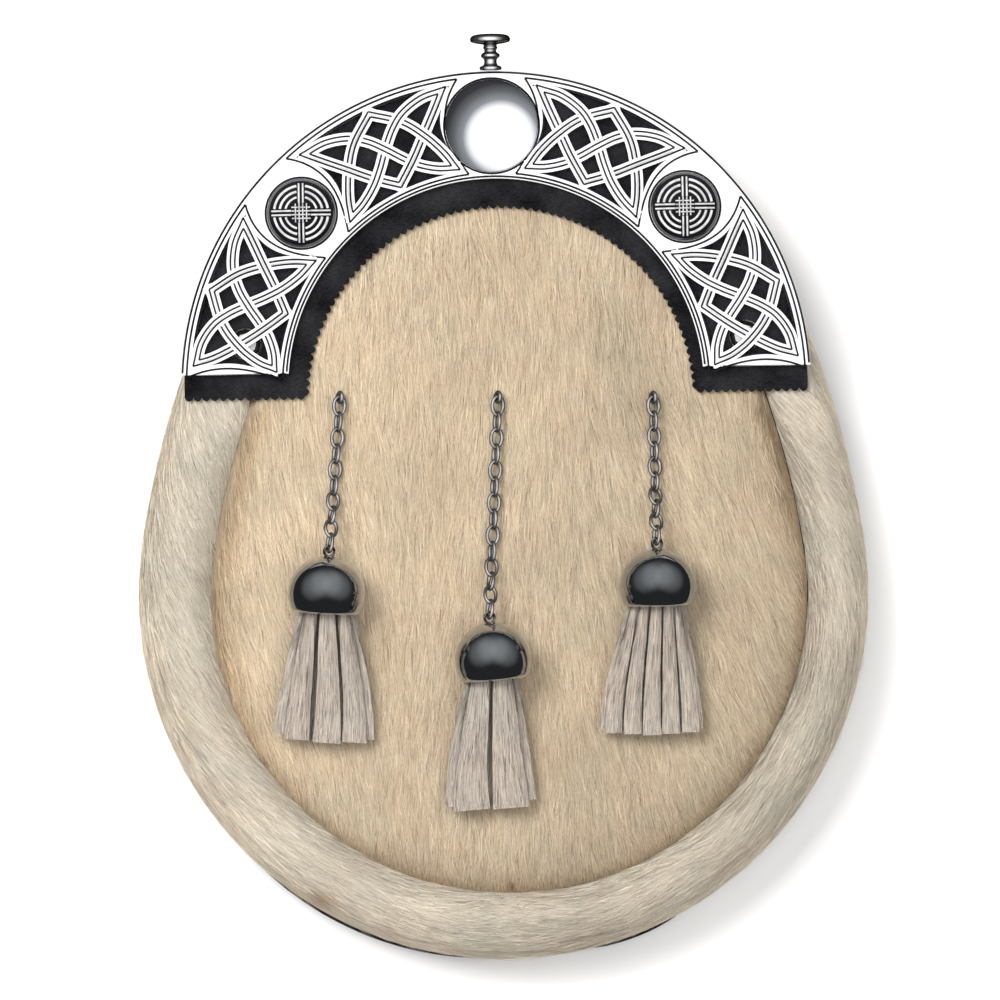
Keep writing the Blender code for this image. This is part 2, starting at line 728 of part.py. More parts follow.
def cap_shell():
    """The ball cap, its open end towards -Y and its centre at the origin."""
    low = math.degrees(math.asin(CAP_OPEN_DROP / CAP_RADIUS))
    inner = CAP_RADIUS - CAP_WALL
    inner_low = math.degrees(math.asin(CAP_OPEN_DROP / inner))
    outside = [(CAP_RADIUS, angle) for angle in np.linspace(CAP_CROWN_ANGLE, -low, CAP_OUTER_STEPS)]
    inside = [(inner, angle) for angle in np.linspace(-inner_low, CAP_HOLLOW_ANGLE, CAP_INNER_STEPS)]
    profile = [
        (radius * math.cos(math.radians(angle)), radius * math.sin(math.radians(angle)))
        for radius, angle in outside + inside
    ]
    bm = turned(profile, CAP_SIDES)
    bm.transform(Matrix.Rotation(-math.pi / 2, 4, "X"))
    return bm


def strip(turn, hem_across, layer, width, length, half_width, sway):
    """One strip of a skirt, from inside the head to the hem, where it lies flat."""
    head = CAP_RADIUS - CAP_WALL - HEAD_CLEARANCE - STRIP_THICKNESS
    angle = math.radians(turn)
    start = STRIP_START * head * Vector((math.sin(angle), 0, math.cos(angle)))
    end = Vector((hem_across * half_width + sway, 0, STRIP_THICKNESS - CAP_RADIUS + layer * SKIRT_RISE))
    across_start = Vector((math.cos(angle), 0, -math.sin(angle)))
    if across_start.x < 0:
        across_start.negate()
    overlap = 2 * STRIP_THICKNESS * length
    rings = []
    for along in STRIP_SECTIONS:
        centre = start.lerp(end, smoothstep((1 + 3 * along) / 4) if along else 0)
        centre.y = overlap - CAP_OPEN_DROP - along * (SKIRT_LENGTH * length + overlap)
        across = across_start.lerp(Vector((1, 0, 0)), smoothstep(2 * along)).normalized()
        up = across.cross(Vector((0, 1, 0))).normalized()
        wide = across * STRIP_WIDTH * width * (1 + along) / 4
        thick = up * STRIP_THICKNESS / 2
        low, high = centre - thick, centre + thick
        rings.append([low - wide, low + wide, high + wide, high - wide])
    twisted = loft(rings)
    bmesh.ops.triangulate(twisted, faces=twisted.faces)
    return twisted


def eye_ring():
    """A small round eye of wire, on a cap or a staple."""
    return ring_band(EYE_RADIUS, EYE_RADIUS, EYE_WIRE)


def tassel(name, frame, half_width, sway, metals, hair):
    """A cap with its eye and a skirt of strips fused to a head, about the centre of the cap."""
    cap = add_object(f"tassel_cap_{name}", cap_shell(), metals["dark"], frame)
    eye = add_object(f"tassel_eye_{name}", eye_ring(), metals["dark"], frame)
    eye.location.y = CAP_RADIUS + EYE_RADIUS + EYE_WIRE / 2 - EYE_SINK
    cut(cap, eye, "UNION")
    inside = CAP_RADIUS - CAP_WALL - HEAD_CLEARANCE
    head_radius = math.sqrt(inside**2 - CAP_OPEN_DROP**2)
    head = turned([(head_radius, -CAP_OPEN_DROP), (head_radius, CAP_OPEN_DROP / 2)], HEAD_SIDES)
    head.transform(Matrix.Rotation(-math.pi / 2, 4, "X"))
    skirt = add_object(f"tassel_skirt_{name}", head, hair, frame)
    for number, row in enumerate((*FRONT_STRIPS[name], *REAR_STRIPS)):
        made = strip(*row, half_width, sway)
        cut(skirt, add_object(f"strip_{name}_{number + 1}", made, hair, frame), "UNION")
    return cap, skirt, eye


def clear_lift(tree, obj, frame):
    """How far an object has to rise to lie just clear of a surface under it."""
    lift = -1.0
    for corner in obj.data.vertices:
        x, y, z = frame @ obj.matrix_basis @ corner.co
        hit = tree.ray_cast(Vector((x, y, 1)), Vector((0, 0, -1)))[0]
        if hit:
            lift = max(lift, hit.z + GAP - z)
    return lift


def surface_height(tree, point):
    """The height of the front panel under a point."""
    return tree.ray_cast(Vector((point.x, point.y, 1)), Vector((0, 0, -1)))[0].z


def chain_curve(tree, start, towards, run, end_height):
    """Points along a chain that lies on the panel and climbs to its cap at the end."""
    points = []
    for step in range(CHAIN_STEPS + 1):
        along = run * step / CHAIN_STEPS
        point = start + towards * along
        lying = surface_height(tree, point) + LINK_WIDTH / 2 + 2 * GAP
        climbed = smoothstep(1 - (run - along) / CHAIN_RISE_RUN)
        point.z = lying + (end_height - lying) * climbed
        points.append(point)
    return points


def at_length(points, length):
    """The point and the direction at a length along a curve."""
    for a, b in zip(points, points[1:]):
        step = (b - a).length
        if length <= step:
            return a.lerp(b, length / step), (b - a).normalized()
        length -= step
    return points[-1], (points[-1] - points[-2]).normalized()


def curve_length(points):
    return sum((b - a).length for a, b in zip(points, points[1:]))


def along_chain(position, direction, turn):
    """A frame with Y against the chain's direction, turned about it in degrees."""
    y_axis = -direction
    x_axis = y_axis.cross(Vector((0, 0, 1))).normalized()
    z_axis = x_axis.cross(y_axis)
    basis = Matrix((x_axis, y_axis, z_axis)).transposed().to_4x4()
    return Matrix.Translation(position) @ basis @ Matrix.Rotation(math.radians(turn), 4, "Y")


def link_turn(number):
    """Every other link stands across the one before."""
    return LINK_TURN - RIGHT_ANGLE * (number % 2)


def downwards(lean):
    """The direction down the front, leaning to the right by an angle in degrees."""
    return Vector((math.sin(math.radians(lean)), -math.cos(math.radians(lean)), 0))


def hung_tassel(row, tree, metals, hair):
    """One staple, chain, cap and skirt, seated on the front panel."""
    name, share, lean, cap_lean, sway, slack, wide = row
    pitch = LINK_LENGTH - 2 * LINK_WIRE - GAP - slack * MM
    links = round(CHAIN_LENGTHS[name] / pitch)
    end_reach = LINK_LENGTH / 2 - LINK_WIRE / 2 - (EYE_RADIUS - EYE_WIRE / 2 - LINK_WIRE / 2 - GAP)
    chain_length = (links - 1) * pitch + 2 * end_reach
    towards = downwards(lean)
    top = Vector((share * BODY_RADIUS, CANTLE_Y - CHAIN_TOP_DROP, 0))
    top.z = surface_height(tree, top) + LINK_WIDTH / 2 + 2 * GAP

    frame = add_empty(f"tassel_{name}", top, cap_lean)
    cap, skirt, eye = tassel(name, frame, SKIRT_HALF_WIDTH * wide, sway * MM, metals, hair)
    run = chain_length
    for _ in range(SEATING_ROUNDS):
        centre = top + towards * run + downwards(cap_lean) * eye.location.y
        centre.z = 0
        placed = Matrix.Translation(centre) @ Matrix.Rotation(math.radians(cap_lean), 4, "Z")
        strips = [modifier.object for modifier in skirt.modifiers]
        centre.z = max(clear_lift(tree, piece, placed) for piece in (cap, *strips))
        points = chain_curve(tree, top, towards, run, centre.z)
        run += chain_length - curve_length(points)
    frame.location = centre

    eye.rotation_euler.y = math.radians(link_turn(links))
    band = ring_band(LINK_WIDTH / 2 - LINK_WIRE / 2, LINK_LENGTH / 2 - LINK_WIRE / 2, LINK_WIRE)
    for number in range(links):
        position, direction = at_length(points, end_reach + number * pitch)
        link = add_object(f"chain_{name}_{number + 1:02d}", band.copy(), metals["steel"])
        link.matrix_world = along_chain(position, direction, link_turn(number))
    band.free()
    chain_staple(name, top, towards, metals["steel"])


def chain_staple(name, centre, towards, metal):
    """The ring that the first link hangs on, standing on a small foot."""
    ring = add_object(f"chain_staple_{name}", eye_ring(), metal)
    ring.matrix_world = along_chain(centre, towards, link_turn(1))
    rows = ((STAPLE_BASE_RADIUS, -LINK_WIDTH / 2 - GAP), (STAPLE_BASE_RADIUS, EYE_WIRE / 4 - EYE_RADIUS))
    base = add_object(f"staple_foot_{name}", turned(rows, STAPLE_BASE_SIDES), metal)
    base.location = centre
    cut(ring, base, "UNION")


def build():
    for old in list(bpy.data.objects):
        bpy.data.objects.remove(old)
    hide = material("cream_hide", (0.72, 0.60, 0.44), 0.85, 0.0)
    rim_hide = material("rim_hide", (0.66, 0.56, 0.45), 0.85, 0.0)
    hair = material("tassel_hide", (0.50, 0.46, 0.42), 0.8, 0.0)
    leather = material("black_leather", (0.012, 0.012, 0.013), 0.5, 0.0)
    metals = {
        "chrome": material("chrome", (0.86, 0.87, 0.88), 0.12, 1.0),
        "dark": material("dark_chrome", (0.22, 0.22, 0.24), 0.15, 1.0),
        "steel": material("chain_steel", (0.34, 0.33, 0.33), 0.25, 1.0),
        "pale": material("rivet_metal", (0.80, 0.76, 0.66), 0.25, 1.0),
    }
    pouch = Pouch()
    rim_gusset(pouch, rim_hide)
    panel = front_panel(pouch, hide)
    back_panel(pouch, leather)
    back_flap(leather, metals["dark"])
    belt_loop("belt_loop_left", -LOOP_SPREAD, leather)
    belt_loop("belt_loop_right", LOOP_SPREAD, leather)

    frame = add_empty("cantle_frame", (-CANTLE_SHIFT, CANTLE_Y, 0), CANTLE_TURN)
    cantle_leather(frame, leather)
    cantle(frame, metals["chrome"])
    ornaments(frame, metals)

    surface = bmesh.new()
    surface.from_mesh(panel.data)
    tree = BVHTree.FromBMesh(surface)
    surface.free()
    for row in TASSELS:
        hung_tassel(row, tree, metals, hair)


build()
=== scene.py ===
"""Looks for the dress sporran: haired hide, pinked leather, an engraved cantle, three chained tassels."""

import json
import math

import bmesh
import bpy
import numpy as np
from mathutils import Matrix, Vector

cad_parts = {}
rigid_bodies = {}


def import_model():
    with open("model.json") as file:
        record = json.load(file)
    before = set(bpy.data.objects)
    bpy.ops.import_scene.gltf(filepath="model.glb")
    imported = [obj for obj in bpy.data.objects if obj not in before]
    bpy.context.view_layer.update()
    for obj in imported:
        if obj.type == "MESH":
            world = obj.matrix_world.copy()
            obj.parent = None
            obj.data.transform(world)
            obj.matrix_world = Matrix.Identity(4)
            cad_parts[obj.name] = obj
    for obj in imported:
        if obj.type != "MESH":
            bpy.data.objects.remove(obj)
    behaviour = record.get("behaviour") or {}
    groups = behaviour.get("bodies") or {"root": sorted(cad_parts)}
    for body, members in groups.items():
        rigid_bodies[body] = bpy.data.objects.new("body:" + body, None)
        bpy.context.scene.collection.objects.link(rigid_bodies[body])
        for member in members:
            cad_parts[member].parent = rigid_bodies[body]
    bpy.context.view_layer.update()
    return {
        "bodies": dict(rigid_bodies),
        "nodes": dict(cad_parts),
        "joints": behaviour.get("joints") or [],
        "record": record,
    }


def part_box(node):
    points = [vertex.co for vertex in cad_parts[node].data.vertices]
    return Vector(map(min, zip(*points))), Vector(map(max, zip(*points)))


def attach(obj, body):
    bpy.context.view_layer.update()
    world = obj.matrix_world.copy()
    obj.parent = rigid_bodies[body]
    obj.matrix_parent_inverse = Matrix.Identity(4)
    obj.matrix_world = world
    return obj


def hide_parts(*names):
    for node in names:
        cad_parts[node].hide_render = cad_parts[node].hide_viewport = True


MM = 0.001
BODY = "root"
RANDOM = np.random.default_rng(7)

# Camera: straight down on the front, one photograph of 270 mm across.
CAMERA_CENTRE = (-0.945 * MM, -0.675 * MM)
CAMERA_HEIGHT = 2.4
FOCUS_HEIGHT = 33 * MM
VIEW_WIDTH = 270 * MM
SENSOR = 36.0

# Pouch outline and rim, the values of the part.
BODY_RADIUS = 98.7 * MM
SHOULDER_RADIUS = 250 * MM
HEAD_RADIUS = 81 * MM
BACK_THICKNESS = 2 * MM
BACK_STEP = 7.2 * MM
BACK_BEND_DROP = 42 * MM
BACK_BEND_LENGTH = 48 * MM
EDGE_INSET = 1 * MM
ROLL_CREST = 35 * MM
ROLL_WIDTH = 17.8 * MM
ROLL_SWING = 1.5 * MM
PANEL_CREST = 37.5 * MM
PANEL_CENTRE_RISE = 12 * MM
PANEL_THICKNESS = 2 * MM
SEAT_HEIGHT = 33 * MM
PRESS_START = 3 * MM
PRESS_RUN = 24 * MM
GAP = 0.3 * MM
CREASE = 0.82
GUSSET_PROFILE = (
    (0.47, 0.00),
    (0.14, 0.00),
    (0.02, 0.18),
    (0.00, 0.44),
    (0.07, 0.70),
    (0.24, 0.90),
    (0.48, 0.99),
    (0.74, 0.99),
    (1.00, CREASE),
    (0.88, 0.72),
    (0.38, 0.64),
    (0.19, 0.30),
    (0.47, 0.08),
)
PANEL_RISE = (
    (0.00, 0.00),
    (0.03, 0.42),
    (0.10, 0.78),
    (0.22, 0.94),
    (0.40, 0.99),
    (0.70, 1.00),
    (1.00, 1.00),
)
OUTLINE_STEPS = 1441
RIM_STATIONS = 360
RIM_SECTION = 56
PANEL_STATIONS = 240
PANEL_RINGS = 43
PANEL_INNERMOST = 0.995
UNDERSIDE_STEP = 3

# Cantle and its leather, about the cantle's own centre.
CANTLE_RADIUS = 85 * MM
CANTLE_INNER_RADIUS = 56 * MM
CANTLE_RISE = 56.3 * MM
CANTLE_SHIFT = 2.0 * MM
CANTLE_TURN = 1.0
CANTLE_FOOT = 4.3 * MM
CANTLE_BASE = 34.8 * MM
CANTLE_TOP = 36.8 * MM
OPENING_MARGIN = 3.1 * MM
# Pierced panels, in degrees: (angle of the far end from the top, its bow), then the corners and the bow
# of the end next to a boss, from the boss.
PANELS = ((7.8, 3.7), (86.0, -2.3))
NEAR_CORNER_INNER = 6.1
NEAR_CORNER_OUTER = 7.2
NEAR_BOW = 3.9
# Webs of the knots: how they rise, climb over one another and meet at mitred corners.
WEB_WIDTH = 3.2 * MM
WEB_RISE = 0.2 * MM
WEB_CLIMB = 3.5 * MM
WEB_STEP = 0.03 * MM
WEB_TIP = 1.3 * MM
MITRE_REACH = 6 * MM
MEETING_REACH = 1.5 * MM
WEB_CLEARANCE = 0.1 * MM
PLATE_EDGE = 0.25 * MM
OPENING_STEPS = 24
KNOT_STEPS = 12
OUTER_ARC_STEPS = 160
INNER_ARC_STEPS = 120
ENGRAVED_WIDTH = 0.55 * MM
ENGRAVED_DEPTH = 0.2 * MM
ENGRAVED_PROUD = 0.03 * MM
# Lines engraved round each pierced panel: (margin in mm, how far out in degrees, steps left off at
# each corner).
FRAME_LINES = ((1.55, 1.5, 0), (2.85, 0.2, 3))
# Lines engraved along the plate's two edges and round each ornament: how far from the edge.
BORDER_OUTER = 0.4 * MM
BORDER_INNER = 0.6 * MM
ORNAMENT_BORDER = 0.35 * MM
# Lines along a web, in mm: (offset, width, reach past its ends, height above it, 1 for a dark line of
# painted shade, steps of its rounded top).
WEB_LINES = (
    (-0.6, 0.48, 2.4, 0.03, 1, 0),
    (0.0, 0.6, 0.1, 0.15, 0, 4),
    (0.6, 0.48, 2.4, 0.03, 1, 0),
)
# Strands of a knot, as shares along and across its panel.
SIDE_STRAND = ((0.035, 0.965), (0.040, 0.760), (0.130, 0.520), (0.300, 0.270), (0.510, 0.030))
DIAGONAL_STRAND = (
    (0.965, 0.965),
    (0.840, 0.930),
    (0.720, 0.830),
    (0.620, 0.690),
    (0.510, 0.510),
    (0.400, 0.330),
    (0.290, 0.180),
    (0.165, 0.075),
    (0.035, 0.035),
)
# Which strand passes over which, by number: four from the sides, then two diagonals.
CROSSINGS = ((0, 1), (4, 0), (2, 5), (3, 2), (4, 3), (5, 4), (1, 5))
# The leather behind: its edge lies inside the cantle's, and its opening is a circle of its own.
LEATHER_THICKNESS = 1.5 * MM
LEATHER_EDGE = 0.9 * MM
LEATHER_ROUNDING = 0.12 * MM
LEATHER_DROP = 6 * MM
LEATHER_OPENING_RADIUS = 52.8 * MM
LEATHER_OPENING_SHIFT = 1.2 * MM
LEATHER_OPENING_DROP = 3.8 * MM
TOOTH_PITCH = 2.3 * MM
TOOTH_DEPTH = 1 * MM
TOOTH_POINTS = 8
TOOTH_ROUNDNESS = 0.8
LEATHER_ARC_STEPS = 200
BOSS_ANGLE = 47.4
BOSS_FROM_CENTRE = 70.2 * MM
BOSS_RADIUS = 9.3 * MM
BOSS_HEIGHT = 4.2 * MM
# A boss's dome: its level at the edge and its rise as shares of the height, and how far it flares.
BOSS_EDGE = 0.28
BOSS_DOME = 0.62
BOSS_FLARE = 1.02
# A boss's edge: (share of the radius, height in mm).
BOSS_RIM = ((1, 0), (1, 0.8), (0.97, 1.25))
# A boss's rings as (radius, wire), broken by a cross of paired wires round a woven square.
BOSS_RINGS = ((7.3 * MM, 0.42 * MM), (5.8 * MM, 0.42 * MM), (4.3 * MM, 0.36 * MM))
BOSS_CROSS_MARGIN = 1.15 * MM
BOSS_CROSS_OFFSET = 0.55 * MM
BOSS_CROSS_ENDS = (2.6, 7.9)
BOSS_CROSS_WIRE = 0.30 * MM
BOSS_KNOT_ROWS = (-1.5 * MM, -0.5 * MM, 0.5 * MM, 1.5 * MM)
BOSS_KNOT_REACH = 2.5
BOSS_KNOT_WIRE = 0.28 * MM
BOSS_KNOT_WAVE = 0.22 * MM
BOSS_KNOT_SINK = 0.35 * MM
BOSS_WIRE_LIFT = 0.05 * MM
DISC_RADIUS = 12.5 * MM
DISC_HEIGHT = 1.8 * MM
# The disc's edge: (inset, height) in mm, then a step in to a low dome.
DISC_RIM = ((0, 0), (0, 0.7), (0.25, 0.95))
DISC_STEP = 0.5 * MM
DISC_SHOULDER = 0.9 * MM
# The disc's painted reflection, a bright patch, in radii: where it lies, and from where to where it fades.
DISC_HIGHLIGHT_SHIFT = (0.20, -0.26, 0)
DISC_HIGHLIGHT_FADE = (0.58, 1.25)
# Greys of the disc's painted reflection, from the bright patch out to the dark upper left.
DISC_REFLECTION_TONES = (
    (0.00, (0.80, 0.80, 0.83)),
    (0.15, (0.68, 0.69, 0.72)),
    (0.36, (0.20, 0.21, 0.23)),
    (0.65, (0.08, 0.085, 0.09)),
    (0.90, (0.02, 0.02, 0.025)),
)
RIVET_RADIUS = 4 * MM
RIVET_ANGLE = 79.4
RIVET_FROM_CENTRE = 68.5 * MM
KNOB_RADIUS = 5.4 * MM
KNOB_HEIGHT = 9.7 * MM

KNOB_PROFILE = (
    (0.53, 0.00),
    (0.55, 0.04),
    (0.53, 0.09),
    (0.36, 0.14),
    (0.31, 0.22),
    (0.33, 0.30),
    (0.45, 0.36),
    (0.47, 0.40),
    (0.45, 0.44),
    (0.31, 0.50),
    (0.30, 0.55),
    (0.36, 0.62),
    (0.33, 0.70),
    (0.70, 0.74),
    (0.95, 0.78),
    (1.00, 0.84),
    (0.98, 0.90),
    (0.86, 0.96),
    (0.55, 0.995),
    (0.02, 1.00),
)

# Tassels: (name, lean of the cap in degrees, sway of the hem in mm, share of the skirt's width).
TASSELS = (("left", -3.6, 1.6, 1.03), ("centre", 5.0, -3.9, 0.90), ("right", 1.1, -2.2, 1.06))
CAP_RADIUS = 10.4 * MM
CAP_OPEN_DROP = 5.2 * MM
CAP_WALL = 1 * MM
CAP_LIP = 1.8 * MM
CAP_CROWN = 1.55
CAP_INNER_CROWN = 1.0
EYE_RADIUS = 1.45 * MM
EYE_WIRE = 0.8 * MM
EYE_SINK = 0.6 * MM
EYE_TURN = 25
LINK_PUFF = 0.23 * MM
SKIRT_LENGTH = 34.6 * MM
SKIRT_HALF_WIDTH = 11.7 * MM
SKIRT_RISE = 8.3 * MM
SKIRT_CLEARANCE = 0.5 * MM
STRIP_WIDTH = 6.4 * MM
STRIP_THICKNESS = 1.8 * MM
STRIP_START = 0.68
# Strips of the skirts: (turn round the cap, place along the hem, layer, shares of the width and length).
FRONT_STRIPS = {
    "left": ((-48, -0.60, 0.52, 1.02, 0.990), (0, 0.07, 0.60, 1.15, 1.000), (50, 0.68, 0.50, 1.00, 0.985)),
    "centre": ((-27, -0.50, 0.56, 1.50, 0.992), (27, 0.50, 0.56, 1.50, 1.000)),
    "right": (
        (-64, -0.84, 0.46, 0.72, 0.980),
        (-32, -0.42, 0.54, 0.74, 0.990),
        (0, 0.00, 0.60, 0.76, 1.000),
        (32, 0.42, 0.54, 0.74, 0.992),
        (64, 0.84, 0.46, 0.72, 0.984),
    ),
}
REAR_STRIPS = (
    (100, 0.90, 0.30, 0.80, 0.955),
    (148, 0.45, 0.10, 1.00, 0.990),
    (-172, -0.12, 0.08, 1.00, 0.995),
    (-130, -0.62, 0.12, 0.95, 0.965),
    (-92, -0.92, 0.32, 0.75, 0.955),
)

# Hair: (blades, shortest and longest in mm, widest in mm, lift of the tips in mm, scatter of the lean in
# radians, scatter of the tone).
HAIR_COATS = 2
PANEL_HAIR = (41000, 7.0, 12.0, 0.20, 0.35, 0.10, 0.10)
RIM_HAIR = (36000, 6.0, 10.0, 0.22, 0.38, 0.12, 0.10)
STRIP_HAIR = (1200, 5.0, 9.0, 0.24, 0.15, 0.05, 0.14)
# One blade: how wide it is at its middle and its tip, its painted shade from root to tip, darker at the
# root, how far its middle lifts, how it rolls in radians, and the few that stand higher.
MIDDLE_WIDTH = 0.8
TIP_WIDTH = 0.15
BLADE_PAINTED_SHADES = (0.80, 0.97, 1.06)
MIDDLE_LIFT = 0.7
BLADE_ROLL = 0.28
STRAY_SHARE = 0.02
STRAY_LIFT = 2.5
# Where hair is sown on the front, and how far in from the crease its roots start.
SOWN_ACROSS = 84 * MM
SOWN_DOWN = 108 * MM
SOWN_UP = 90 * MM
CREASE_MARGIN = 0.004
# Hair that would cross the crease is shortened, up to so many times.
SHORTENINGS = 4
SHORTENED = 0.55
# How close roots and tips come to the edge of the cantle's leather.
ROOT_MARGIN = 0.4 * MM
PANEL_TIP_MARGIN = 0.3 * MM
RIM_TIP_MARGIN = 0.2 * MM
# The rim's hair by row of its section: where roots lie, how far hair reaches, and how high it grows
# below the leather.
RIM_ROOTS = (1, 8.1)
RIM_REACH = (0.9, 8.15)
RIM_SHELTERED = 4.7
RIM_SHELTER_DROP = 1.5 * MM
# How far the rim's hair mixes at its parting above the head, as a share of the outline.
PARTING_SPREAD = 0.006
# How the hair leans, in degrees, by place in mm: the front's to the right, the rim's inwards.
PANEL_LEAN = ((-75, -45, -15, 10, 35, 75), (16, 7, 0, 3, 12, 24))
RIM_LEAN_HEIGHTS = (-120, -90, -40, 10, 60)
RIM_LEAN_LEFT = (2, 6, 22, 34, 30)
RIM_LEAN_RIGHT = (2, 2, -8, -24, -34)
# High on the front the hair calms down to this share of its lean, over a run in mm.
CALM_SHARE = 0.25
CALM_FROM = 60
CALM_RUN = 80
# Slow changes over the hide: (strength, size, seed). Sweeps and wisps are in degrees, curls in radians.
WAVES = 5
PANEL_SWEEP = (5, 70 * MM, 3)
PANEL_WISP = (3, 22 * MM, 4)
PANEL_CURL = (0.12, 9 * MM, 6)
PANEL_PATCHES = (0.05, 40 * MM, 8)
RIM_SWEEP = (5, 30 * MM, 12)
RIM_PATCHES = (0.06, 35 * MM, 21)
# Steps for measuring slopes over the front and along the rim, and a length that counts as none.
SLOPE_STEP = 0.3 * MM
SHARE_STEP = 1e-3
TINY = 1e-12

# Tints of the strands: (share of them, red, green, blue).
CREAM_TINTS = (
    (0.45, 0.51, 0.415, 0.29),
    (0.28, 0.59, 0.50, 0.37),
    (0.14, 0.52, 0.405, 0.31),
    (0.11, 0.42, 0.34, 0.24),
    (0.02, 0.24, 0.18, 0.13),
)
RIM_TINTS = (
    (0.45, 0.49, 0.445, 0.36),
    (0.30, 0.57, 0.52, 0.435),
    (0.14, 0.50, 0.44, 0.38),
    (0.095, 0.40, 0.355, 0.30),
    (0.015, 0.26, 0.22, 0.185),
)
GREY_TINTS = (
    (0.42, 0.40, 0.35, 0.30),
    (0.28, 0.50, 0.45, 0.39),
    (0.12, 0.38, 0.33, 0.30),
    (0.13, 0.25, 0.22, 0.19),
    (0.05, 0.12, 0.10, 0.09),
)
# Slow change of tone along the hide, as stops of a ramp.
MOTTLE = (
    (0.30, (0.95, 0.96, 0.94)),
    (0.45, (1.01, 1.00, 0.98)),
    (0.58, (1.03, 0.99, 0.96)),
    (0.72, (0.96, 0.97, 0.97)),
)

# Painted shade: how fast the front's hair darkens, per metre, to the right and down, away from the light.
PAINTED_SHADE_RIGHT = 1.5
PAINTED_SHADE_DOWN = 0.9
# Painted shade in the crease: how the front's hair darkens and browns towards it, and over what share of
# the way in.
CREASE_SHADE = (0.10, 0.17, 0.25)
CREASE_SHADE_REACH = 0.10
# Painted light: how much the rim's hair is lightened on its outer side and down towards the crease, by row
# of its section.
PAINTED_LIGHT_OUTER = 0.60
PAINTED_LIGHT_OUTER_END = 6.2
PAINTED_LIGHT_OUTER_RUN = 2.6
PAINTED_LIGHT_INNER = 0.12
PAINTED_LIGHT_INNER_START = 7

# Marks on the hide: (x, y, half width, half height) of the brown stain and of the notch in the foot seam.
STAIN = (-52.5 * MM, -106.6 * MM, 2.3 * MM, 1.6 * MM)
STAIN_DARKNESS = (0.50, 0.68, 0.80)
NOTCH = (2.3 * MM, -103.2 * MM, 0.9 * MM, 2.2 * MM)
NOTCH_ON_FRONT = 0.75
NOTCH_ON_RIM = 0.5
# Stretches of the outline, by share of its length, where the back's cut edge stands proud of the hair.
BARE_EDGES = ((-0.110, -0.004), (0.032, 0.075))
BARE_EDGE_PROUD = 2.6 * MM
BARE_EDGE_TAPER = 0.25
# The binding round the back: (inset from the outline, height above the back's under side), in mm.
BINDING_SECTION = ((0.6, 0.5), (0.9, 0.1), (3.2, -0.15), (3.2, 2.1), (0.9, 2.1), (0.6, 1.6))
BINDING_STEPS = 240
# Stitches of the back: the two seams' insets, and each stitch's pitch, wire and arch.
BACK_SEAM_INSET = 4.2 * MM
BACK_SEAM_STEPS = 190
FLAP_SEAM_INSET = 2.2 * MM
FLAP_CORNER = 8 * MM
STITCH_PITCH = 3 * MM
STITCH_WIRE = 0.28 * MM
STITCH_PROUD = 0.2 * MM
STITCH_ARCH = ((0.1, -0.6), (0.3, 0.6), (0.5, 1.0), (0.7, 0.6), (0.9, -0.6))
STITCH_SHARE = 0.8
# Leathers of the back, their edges rounded by so many mm.
LEATHER_PARTS = (
    ("back_panel", 0.5),
    ("back_flap", 0.6),
    ("belt_loop_left", 0.6),
    ("belt_loop_right", 0.6),
)
# CAD nodes that are seen as they are: (node, finish).
PLAIN_PARTS = (("flap_stud", "dark"), ("rivet_left", "rivet"), ("rivet_right", "rivet"))

# Hides and threads: (finish, material, dark, light, stretch of the streaks).
HIDES = (
    ("cream_skin", "cream_skin", (0.26, 0.20, 0.14), (0.46, 0.37, 0.26), (1, 0.12, 0.12)),
    ("rim_skin", "rim_skin", (0.32, 0.28, 0.23), (0.50, 0.45, 0.37), (0.8, 0.2, 0.2)),
    ("grey_skin", "tassel_skin", (0.16, 0.14, 0.12), (0.36, 0.33, 0.29), (1, 0.12, 1)),
    ("thread", "waxed_thread", (0.01, 0.01, 0.01), (0.06, 0.06, 0.055), (1, 1, 1)),
)
# Polished metals: (finish, material, dark, light, least and most roughness, how metallic).
METALS = (
    ("chrome", "polished_chrome", (0.90, 0.91, 0.92), (0.96, 0.96, 0.97), 0.10, 0.25, 0.20),
    # The groove's dark is painted shade of engraved cuts, on lines that stand a little proud of the plate.
    ("groove", "tarnished_groove", (0.05, 0.05, 0.06), (0.14, 0.14, 0.15), 0.35, 0.50, 1.0),
    ("dark", "dark_chrome", (0.46, 0.49, 0.52), (0.54, 0.57, 0.59), 0.04, 0.10, 1.0),
    ("ground", "blackened_ground", (0.008, 0.008, 0.01), (0.02, 0.02, 0.022), 0.10, 0.20, 0.50),
)
# Metals with painted highlights and shade: (finish, material, rows of how far a face turns to the front
# and its painted grey).
PAINTED_SHINE_METALS = (
    ("turned", "turned_chrome", ((0.35, 0.01), (0.78, 0.05), (0.91, 0.45), (0.98, 0.95))),
    ("ring", "aged_chrome", ((0.20, 0.02), (0.50, 0.22), (0.78, 0.90))),
    ("steel", "bright_steel", ((0.30, 0.01), (0.80, 0.09), (0.98, 0.55))),
    ("rivet", "pale_rivet", ((0.86, 0.01), (0.93, 0.25), (0.97, 0.72))),
)
TONED_METALLIC = 0.3

# The sky that the metal mirrors: (direction, inner and outer angle of a soft patch, its level).
SKY_BASE = 0.03
SKY = (
    ((-0.8, 0.7, 1.0), 8, 52, 0.17),
    ((0.0, 0.8, 1.0), 8, 56, 0.17),
    ((0.8, 0.7, 1.0), 8, 52, 0.17),
)
# Lights: (name, place, size, watts).
LIGHTS = (("key", (-0.60, 0.50, 1.45), 0.7, 28.5), ("fill", (0.4, -0.3, 1.8), 1.6, 27))
FLOOR_REACH = 3.0
FLOOR_TONE = (0.93, 0.93, 0.93, 1)
FLOOR_DROP = 0.2 * MM
# Corners sharper than this stay sharp, in degrees: on turned and lofted pieces, and on rounded plates.
SHARP_ANGLE = 40
SHARP_EDGE_ANGLE = 35
# CAD copies: points this close are welded, and triangles this near to a square are joined.
WELD = 0.01 * MM
SQUARE_ANGLE = 60

